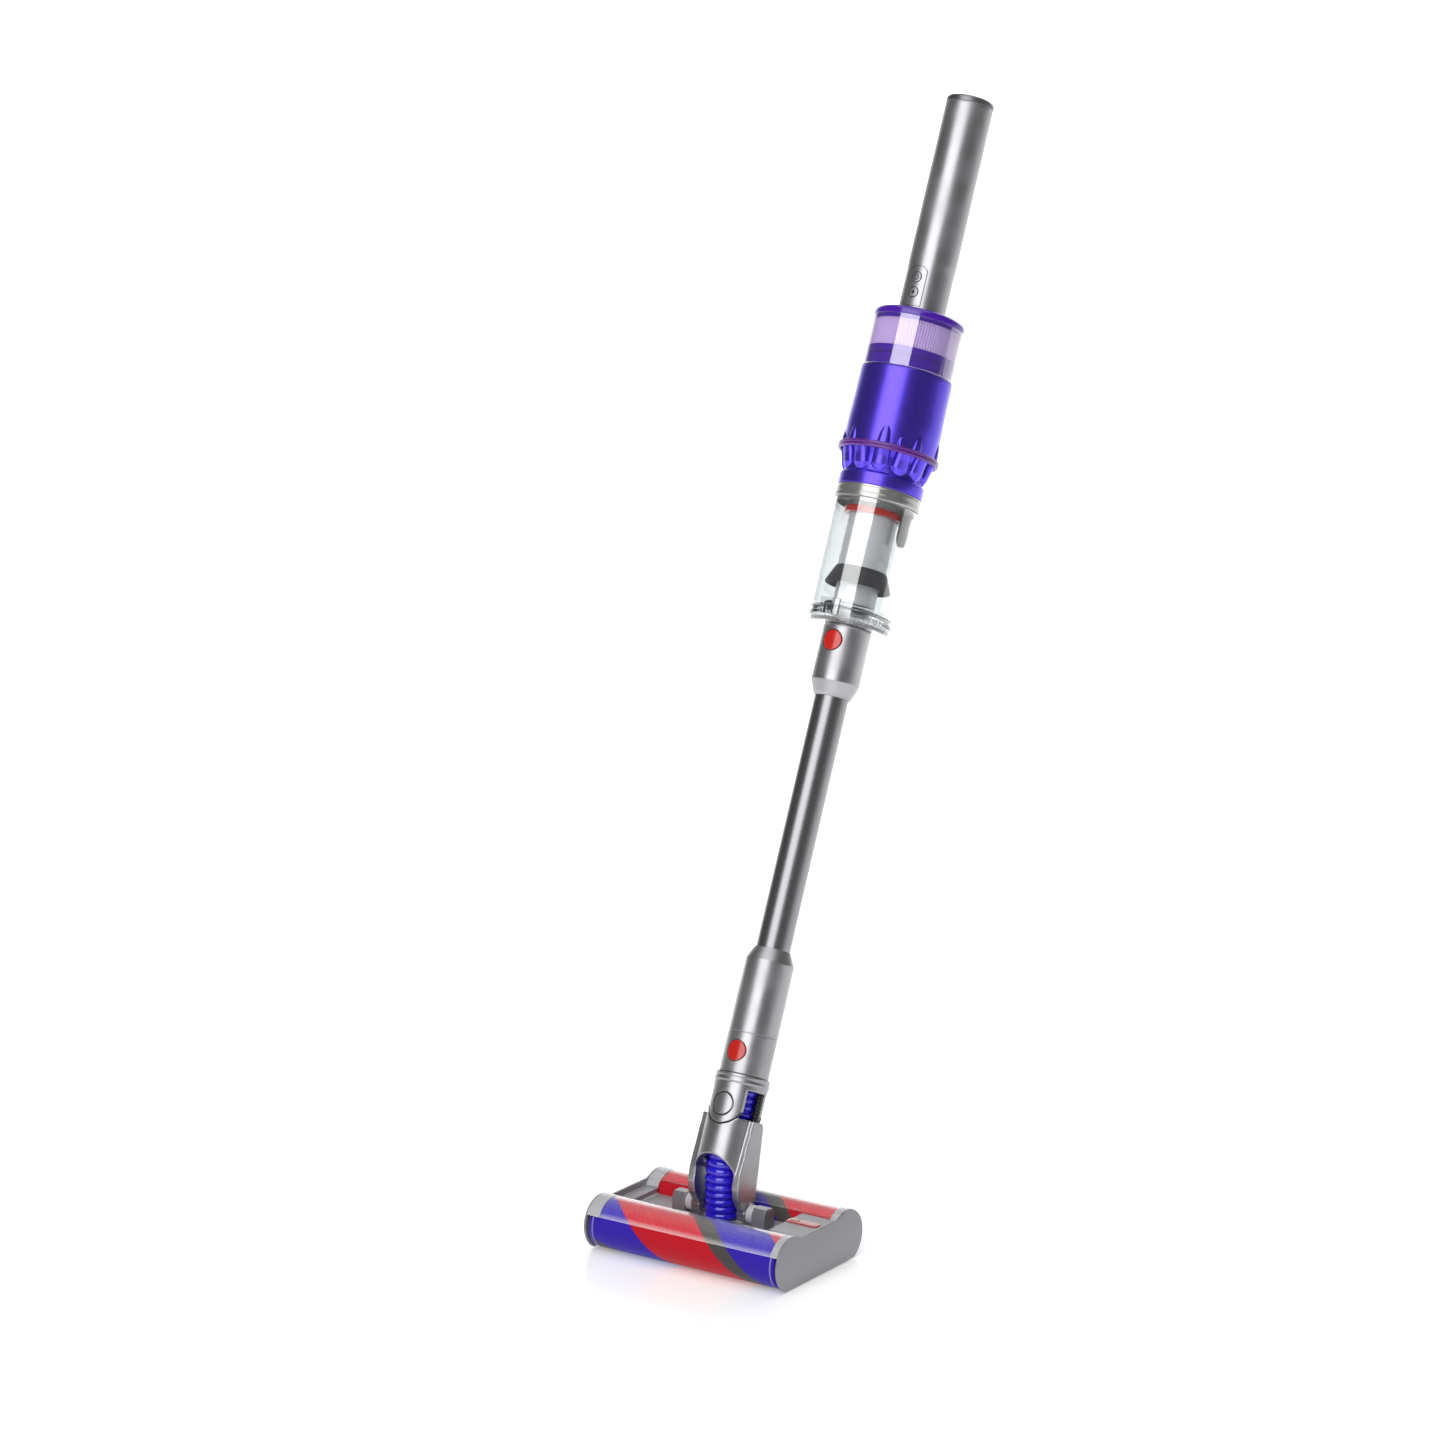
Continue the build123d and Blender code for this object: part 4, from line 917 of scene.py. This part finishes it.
# ---- Dust bin
class VACUUM_OT_bin(bpy.types.Operator):
    """Make the clear bin, its base and the shroud inside it"""

    bl_idname = "vacuum.bin"
    bl_label = "Dust bin"

    def execute(self, context):
        base = [(17.8, 531.5), (33, 531.5), (35.2, 533), (37.6, 537), (38.5, 544), (36.4, 544), (36, 540), (33, 536),
                (19.4, 534.5), (19.4, 552), (17.8, 552)]
        ring_piece("clear_bin_base", base, 0.7, "clear", "clear_plastic", "bin_base")
        cup = [(36.7, 544.1), (38.5, 544.1), (38.9, 546), (38.55, 548), (38.8, 646.4), (37, 646.4)]
        ring_piece("clear_bin_cup", cup, 0.6, "clear", "clear_plastic", "bin_cup")
        # fine ribs stand on the base's bevel, 6 degrees apart, so that fingers can grip it
        ribs = []
        loop = np.array([(33.0, 531.7), (35.6, 532.4), (38.1, 536.6), (38.7, 540.5), (37.4, 540.5), (36, 537),
                         (33, 533)])
        for k in range(60):
            a = radians(6 * k)
            spine = on_stick(loop[:, 0] * MM, loop[:, 1] * MM, a)
            grid = [spine + (ACROSS * cos(a) - FORWARD * sin(a)) * t * MM for t in (-0.35, 0.35)]
            ribs.append(surface(np.array(grid), rows_close=False, caps=True))
        piece("bin_base_ribs", ribs, "clear", "clear_plastic", body="main_unit", crease=20)
        seal = softened([(31.5, 543.2), (36.2, 543.6), (36.3, 546), (34.8, 546.4), (31, 544.8)], 0.4)
        piece("bin_base_seal", [turned(seal)], "rubber", "black_rubber", body="main_unit")
        piece("bin_catches", moulded("bin_base_catch", 0.35, 4), "clear", "clear_plastic", "bin_base_catch")
        # the catch's spring arm and hook sit dark behind its clear cover
        hooks = []
        for side in (1, -1):
            for x, low, wide, tall in ((-4.6, 536.5, 2.2, 11), (4.2, 536.5, 2.6, 9), (0, 539.5, 4.4, 4.5),
                                       (-1, 546, 6, 2.4)):
                loop = softened([(-wide / 2, 0), (wide / 2, 0), (wide / 2, tall), (-wide / 2, tall)], 0.8, 4)
                loop = loop - np.array([0, tall / 2])
                hooks.append(on_barrel(loop, low + tall / 2, 38.2, 36.9, 0.3, side, x))
        piece("catch_hooks", hooks, "dark", "dark_housing", body="main_unit")

        duct = [(17.8, 552.2), (19.4, 552.2), (19.4, 640), (17.8, 640)]
        ring_piece("bin_inlet_duct", duct, 0.5, "shroud", "shroud_silver", "inlet_duct")
        wall = [(20.6, 576), (22.4, 576)]
        for band in (594, 610, 633):
            wall += [(22.4, band - 0.1), (22.8, band), (22.8, band + 1.6), (22.4, band + 1.7)]
        wall += [(22.4, 656), (20.6, 656)]
        ring_piece("perforated_shroud", wall, 0.3, "shroud", "shroud_silver", "shroud")
        skirt = [(22.5, 579), (22.5, 586), (23.4, 586), (30.4, 569.6), (29.2, 568.6)]
        piece("flared_skirt", [turned(softened(skirt, 0.5), 144, lambda r, s, a: r + 0.35 * np.cos(36 * a) * (r > 24))],
              "dark", "dark_housing", "shroud_skirt")
        seal = [(22.9, 634.8), (27.6, 634.8), (27.6, 641), (22.9, 641)]
        ring_piece("red_shroud_seal", seal, 0.8, "red", "red_plastic", "shroud_seal")
        # a dark flap turns the incoming air round the bin, on the right
        angle = np.radians(np.linspace(84, 106, 24))
        low = 612 + 22 * np.abs((np.degrees(angle) - 95) / 13) ** 2.2 * 0.5
        rows = [(r, s) for r, s in ((30, 1), (34.5, 1), (34.5, 0), (30, 0))]
        grid = [on_stick(np.full_like(angle, r * MM), (low if s == 0 else np.full_like(angle, 640.0)) * MM, angle)
                for r, s in rows]
        piece("inlet_flap", [surface(np.swapaxes(np.array(grid), 0, 1), rows_close=False, caps=True)], "dark",
              "dark_housing", body="main_unit", crease=25)
        collar = [(36.2, 643), (36.8, 643), (36.8, 646.6), (39.4, 646.6), (39.7, 648), (39.7, 650.5), (39.2, 651.4),
                  (39.2, 656), (38.8, 657), (38.8, 658.4), (36.2, 658.4), (36.2, 654), (22.5, 654), (22.5, 650),
                  (36.2, 650)]
        ring_piece("silver_collar", collar, 0.5, "collar", "collar_silver", "bin_collar")
        return {"FINISHED"}


# ---- Cyclones and motor
CONES = np.radians(-7 + 30 * np.arange(12))
# angle within each quarter turn, half-width and height of the pointed cone tips above the flange
TIPS = ((23, 5.2, 19.5), (44, 2.8, 11.5), (67, 4.6, 16))


def off_axis(angle, middle):
    """Signed angle from a middle, between -pi and pi."""
    return (angle - middle + pi) % (2 * pi) - pi


def cyclone_radius(radius, station, angle):
    """Twelve fingers on the funnel: between stations 672 and 693 a finger adds up to its crest height times
    sqrt(1 - (distance across / half-width) squared), and its half-width grows as the root of the way up."""
    t = np.clip((station - 672.3) / 20.5, 0, 1)
    half = 8.6 * np.sqrt(np.clip(t * 3.2, 0, 1)) * (1 - 0.04 * t) + 1e-6
    crest = (2.6 + 4.4 * t) * np.sqrt(np.clip(t * 4, 0, 1))
    rise = np.zeros_like(radius)
    for middle in CONES:
        across = off_axis(angle, middle) * 40
        rise = np.maximum(rise, crest * np.sqrt(np.clip(1 - (across / half) ** 2, 0, 1)))
    valley = np.interp(station, [658, 669.3, 671.8, 674.8, 685.8, 692.8, 695.2],
                       [39, 39.1, 37.0, 36.2, 36.4, 37.2, 42.6])
    outside = (radius > 36.5) & (station > 670.8) & (station < 693.8)
    return np.where(outside, valley + rise, radius)


def motor_radius(radius, station, angle):
    """Pointed tips above the flange: each adds 1.8 mm times sqrt(1 - (distance across / half-width) squared), and its
    half-width falls to nothing at its height as sqrt(1 - way up squared)."""
    rise = np.zeros_like(radius)
    for quarter in range(4):
        for degrees_, wide, tall in TIPS:
            way = np.clip((station - 694.3) / tall, 0, 1)
            half = wide * (1 - way ** 2) ** 0.5 + 1e-6
            across = off_axis(angle, radians(degrees_ + 90 * quarter)) * 43
            bump = np.sqrt(np.clip(1 - (across / half) ** 2, 0, 1)) * (1 - way ** 3)
            rise = np.maximum(rise, 1.8 * bump)
    return np.where((radius > 42) & (station < 719), radius + rise, radius)


class VACUUM_OT_motor(bpy.types.Operator):
    """Make the cyclone fingers, the flange and the motor body"""

    bl_idname = "vacuum.motor"
    bl_label = "Cyclones and motor"

    def execute(self, context):
        outline = [(34, 658.6), (38.4, 658.6), (38.9, 658.8), (39, 659.3), (39, 664), (39.1, 668.8), (39, 669.4),
                   (38.3, 670.3), (37.6, 671)]
        outline += [(38, s) for s in np.linspace(671.6, 693.4, 46)] + [(42.6, 694.2), (42.8, 694.8), (39.5, 694.8),
                                                                       (34, 680)]
        piece("cyclone_fingers", [turned(outline, 480, cyclone_radius)], "paint", "purple_metallic", "cyclone_body",
              crease=60)
        beads = [turned(circle(1.7, 20, (45, s))) for s in (692.8, 695.8)]
        piece("magenta_flange", beads, "magenta", "magenta_trim", "cyclone_flange")
        outline = [(39.6, 695), (43, 695)] + [(43.0 + 0.2 * (s - 695) / 20, s) for s in np.linspace(695.4, 716, 42)]
        outline += [(43.2, 717.5), (43.2, 720), (43, 726), (42.6, 740), (42.5, 755), (42.4, 764), (42.4, 767.6)]
        # the casing steps in to a spigot that the filter's skirt slides over
        outline += [(42.3, 768.4), (42, 769), (41.5, 769.2), (38.4, 769.2), (38.4, 780.6), (24.2, 780.6),
                    (24.2, 777.6), (37, 777.6), (37, 767.4), (39.6, 766)]
        piece("motor_casing", [turned(outline, 480, motor_radius)], "paint", "purple_metallic", "motor_body",
              crease=60)
        return {"FINISHED"}


# ---- Filter
class VACUUM_OT_filter(bpy.types.Operator):
    """Make the pleated filter, its clear wall and its cap"""

    bl_idname = "vacuum.filter"
    bl_label = "Filter"

    def execute(self, context):
        ring = [(38.8, 770), (40.5, 770), (40.5, 779.2), (40.1, 779.6), (40.1, 782.6), (40.5, 783), (40.6, 788.4),
                (24.6, 788.4), (24.6, 785.4), (38.8, 785.4)]
        ring_piece("filter_base_ring", ring, 0.4, "purple_gloss", "filter_purple", "filter_lower_ring")
        # short dark tubes in the ring's channel are painted shade in its vent openings
        vent_shade_tubes = []
        for k in range(18):
            a0, a1 = np.radians(20 * k + 2), np.radians(20 * k + (13 if k % 3 else 8))
            t = np.linspace(a0, a1, 12)
            vent_shade_tubes.append(tube(on_stick(np.full_like(t, 40.35 * MM), np.full_like(t, 781.1 * MM), t), 0.45 * MM, 8))
        piece("filter_vents", vent_shade_tubes, "groove", "dark_housing", body="filter")
        count = sizes().pleats
        media = softened([(26, 788.6), (39.6, 788.6), (39.6, 817.6), (26, 817.6)], 0.6)
        folds = turned(media, count * 6, lambda r, s, a: r - 0.65 * (1 + np.cos(count * a)) * (r > 38))
        piece("pleated_media", [folds], "media", "filter_media", "filter_media", crease=60)
        wall = [(40.8, 769.8), (41.9, 769.8), (42.3, 771), (42.2, 772.6), (42.2, 817.8), (40.8, 817.8)]
        ring_piece("clear_filter_wall", wall, 0.4, "clear_purple", "clear_purple", "filter_shell")
        cap = [(24.6, 818), (39.8, 818), (39.8, 814), (40.6, 814), (40.6, 818), (42.1, 818), (42.1, 820.6),
               (41.9, 822.3), (41.0, 823.9), (39.6, 825.0), (37.6, 825.7), (35.5, 826),
               (25.6, 826), (24.8, 825.6), (24.6, 825)]
        ring_piece("filter_lid", cap, 0.5, "purple_gloss", "filter_purple", "filter_cap")
        return {"FINISHED"}


# ---- Handle
PANEL_STATION = 847.5
POWER_STATION, BOOST_STATION = 857.3, 843
PANEL_RADIUS, GRIP_RADIUS = 21.7, 22.1
KEY_HOLE = 5.0


def panel_loop(grow=0.0, count=16):
    """The control panel's outline, (across, along): straight sides and a half-round top, centred on its middle."""
    half, low, top = 9 + grow, 830.5 - grow, 868 + grow
    turn = np.linspace(0, pi, count)
    arch = np.stack([half * np.cos(turn), top - 6 + 6 * np.sin(turn)], 1)
    sides = [(-half, s) for s in np.linspace(top - 8, low, 9)]
    base = [(x, low) for x in np.linspace(-half, half, 7)[1:-1]]
    other = [(half, s) for s in np.linspace(low, top - 8, 9)]
    loop = np.concatenate([arch, sides, base, other])
    return loop - np.array([0, PANEL_STATION])


class VACUUM_OT_handle(bpy.types.Operator):
    """Make the handle, its end cap and the control panel"""

    bl_idname = "vacuum.handle"
    bl_label = "Handle"

    def execute(self, context):
        # the grip swells by 0.4 mm above the panel, so gently that no step shows
        tall = [(float(np.interp(s, [867, 873], [PANEL_RADIUS, GRIP_RADIUS])), s) for s in np.linspace(812, 1010, 67)]
        shell = [(19.2, 796), (21.2, 796), (21.6, 796.4), (PANEL_RADIUS, 797), (PANEL_RADIUS, 800)] + tall
        shell += [(GRIP_RADIUS, 1024), (GRIP_RADIUS, 1026), (21.8, 1026.6), (20.4, 1026.6), (20.4, 798.5),
                  (19.2, 798.5)]
        cutters = [bore_forward(KEY_HOLE, station) for station in (POWER_STATION, BOOST_STATION)]
        recess = on_barrel(panel_loop(0.35), PANEL_STATION, 26, 21.2, 0.05)
        piece("handle_barrel", bored("handle", [turned(shell)], cutters + [recess]), "nickel",
              "satin_nickel", "handle_shell", crease=32)
        end = [(0, 1026.8), (21.7, 1026.8), (GRIP_RADIUS, 1027.2), (GRIP_RADIUS, 1030.6), (21.9, 1031.6),
               (21.2, 1032.5), (20.1, 1033), (2.75, 1033), (2.75, 1024), (0, 1024)]
        ring_piece("handle_lid", end, 0.3, "nickel_dark", "satin_nickel", "handle_end_cap")
        plate = bored("panel", [on_barrel(panel_loop(), PANEL_STATION, 21.8, 21.22, 0.2)], cutters)
        piece("control_plate", plate, "nickel", "satin_nickel", "control_panel", crease=25)
        # dark lines round the panel and the two key holes are painted shade in their gaps
        edge = panel_loop(0.15)
        out = np.sqrt(21.68 ** 2 - edge[:, 0] ** 2)
        line = on_stick(0 * out, (edge[:, 1] + PANEL_STATION) * MM, 0 * out)
        line = line + (ACROSS * edge[:, :1] + FORWARD * out[:, None]) * MM
        gap_shade_lines = [tube(line, 0.22 * MM, 8, True)]
        gap_shade_lines += [line_on_barrel(KEY_HOLE, 21.75, 0, 360, 1, 0.55, s) for s in (POWER_STATION, BOOST_STATION)]
        piece("panel_rims", gap_shade_lines, "groove", "dark_housing", body="handle")
        for key, station in (("power", POWER_STATION), ("boost", BOOST_STATION)):
            piece(f"{key}_key_disc", [on_barrel(circle(4.6), station, 22.2, 19.4, 0.5)], "nickel", "satin_nickel",
                  f"{key}_button")
        # plain marks: an open ring on one key, a dot on the other
        piece("power_key_mark", [line_on_barrel(2.3, 22.22, 0, 360, 1, 0.5, POWER_STATION)], "groove", "dark_housing",
              body="power_key")
        piece("boost_key_mark", [on_barrel(circle(1.5, 24), BOOST_STATION, 22.32, 21.9, 0.1)], "groove", "dark_housing",
              body="boost_key")
        return {"FINISHED"}


# ---- Parts kept as they are
KEPT = {
    "sole_plate": "dark", "drive_motors": "dark", "head_screws": "steel", "front_roller_core": "dark",
    "rear_roller_core": "dark", "yoke_pins": "steel", "motor_stator": "windings", "motor_impeller": "dark",
    "battery_dock": "purple_gloss", "battery_cells": "cells",
}


class VACUUM_OT_inner_parts(bpy.types.Operator):
    """Give the castors and the hidden parts their finishes"""

    bl_idname = "vacuum.inner_parts"
    bl_label = "Castors and hidden parts"

    def execute(self, context):
        made = finishes()
        for node, thing in frame["nodes"].items():
            look = KEPT.get(node)
            if node.startswith("castor_fork"):
                look = "dark"
            elif node.startswith("castor_wheel"):
                look = "rubber"
            if look:
                if not thing.material_slots:
                    thing.data.materials.append(None)
                for place in thing.material_slots:
                    place.material = made[look]
        return {"FINISHED"}


class VACUUM_PT_panel(bpy.types.Panel):
    """Sizes, colours and the steps that build the vacuum"""

    bl_label = "Cordless stick vacuum"
    bl_idname = "VACUUM_PT_panel"
    bl_space_type = "VIEW_3D"
    bl_region_type = "UI"
    bl_category = "Vacuum"

    def draw(self, context):
        for group in (context.scene.vacuum_sizes, context.scene.vacuum_colours):
            for name in group.__annotations__:
                self.layout.prop(group, name)
        for step in STEPS:
            self.layout.operator(step.bl_idname)


STEPS = (VACUUM_OT_stage, VACUUM_OT_rollers, VACUUM_OT_covers, VACUUM_OT_chassis, VACUUM_OT_hose, VACUUM_OT_neck,
         VACUUM_OT_wand, VACUUM_OT_bin, VACUUM_OT_motor, VACUUM_OT_filter, VACUUM_OT_handle, VACUUM_OT_inner_parts)
CLASSES = (VacuumSizes, VacuumColours) + STEPS + (VACUUM_PT_panel,)


def register():
    for cls in CLASSES:
        bpy.utils.register_class(cls)
    bpy.types.Scene.vacuum_sizes = bpy.props.PointerProperty(type=VacuumSizes)
    bpy.types.Scene.vacuum_colours = bpy.props.PointerProperty(type=VacuumColours)


def unregister():
    del bpy.types.Scene.vacuum_colours
    del bpy.types.Scene.vacuum_sizes
    for cls in reversed(CLASSES):
        bpy.utils.unregister_class(cls)


def main():
    register()
    for step in STEPS:
        group, name = step.bl_idname.split(".")
        getattr(getattr(bpy.ops, group), name)()


if __name__ == "__main__":
    main()
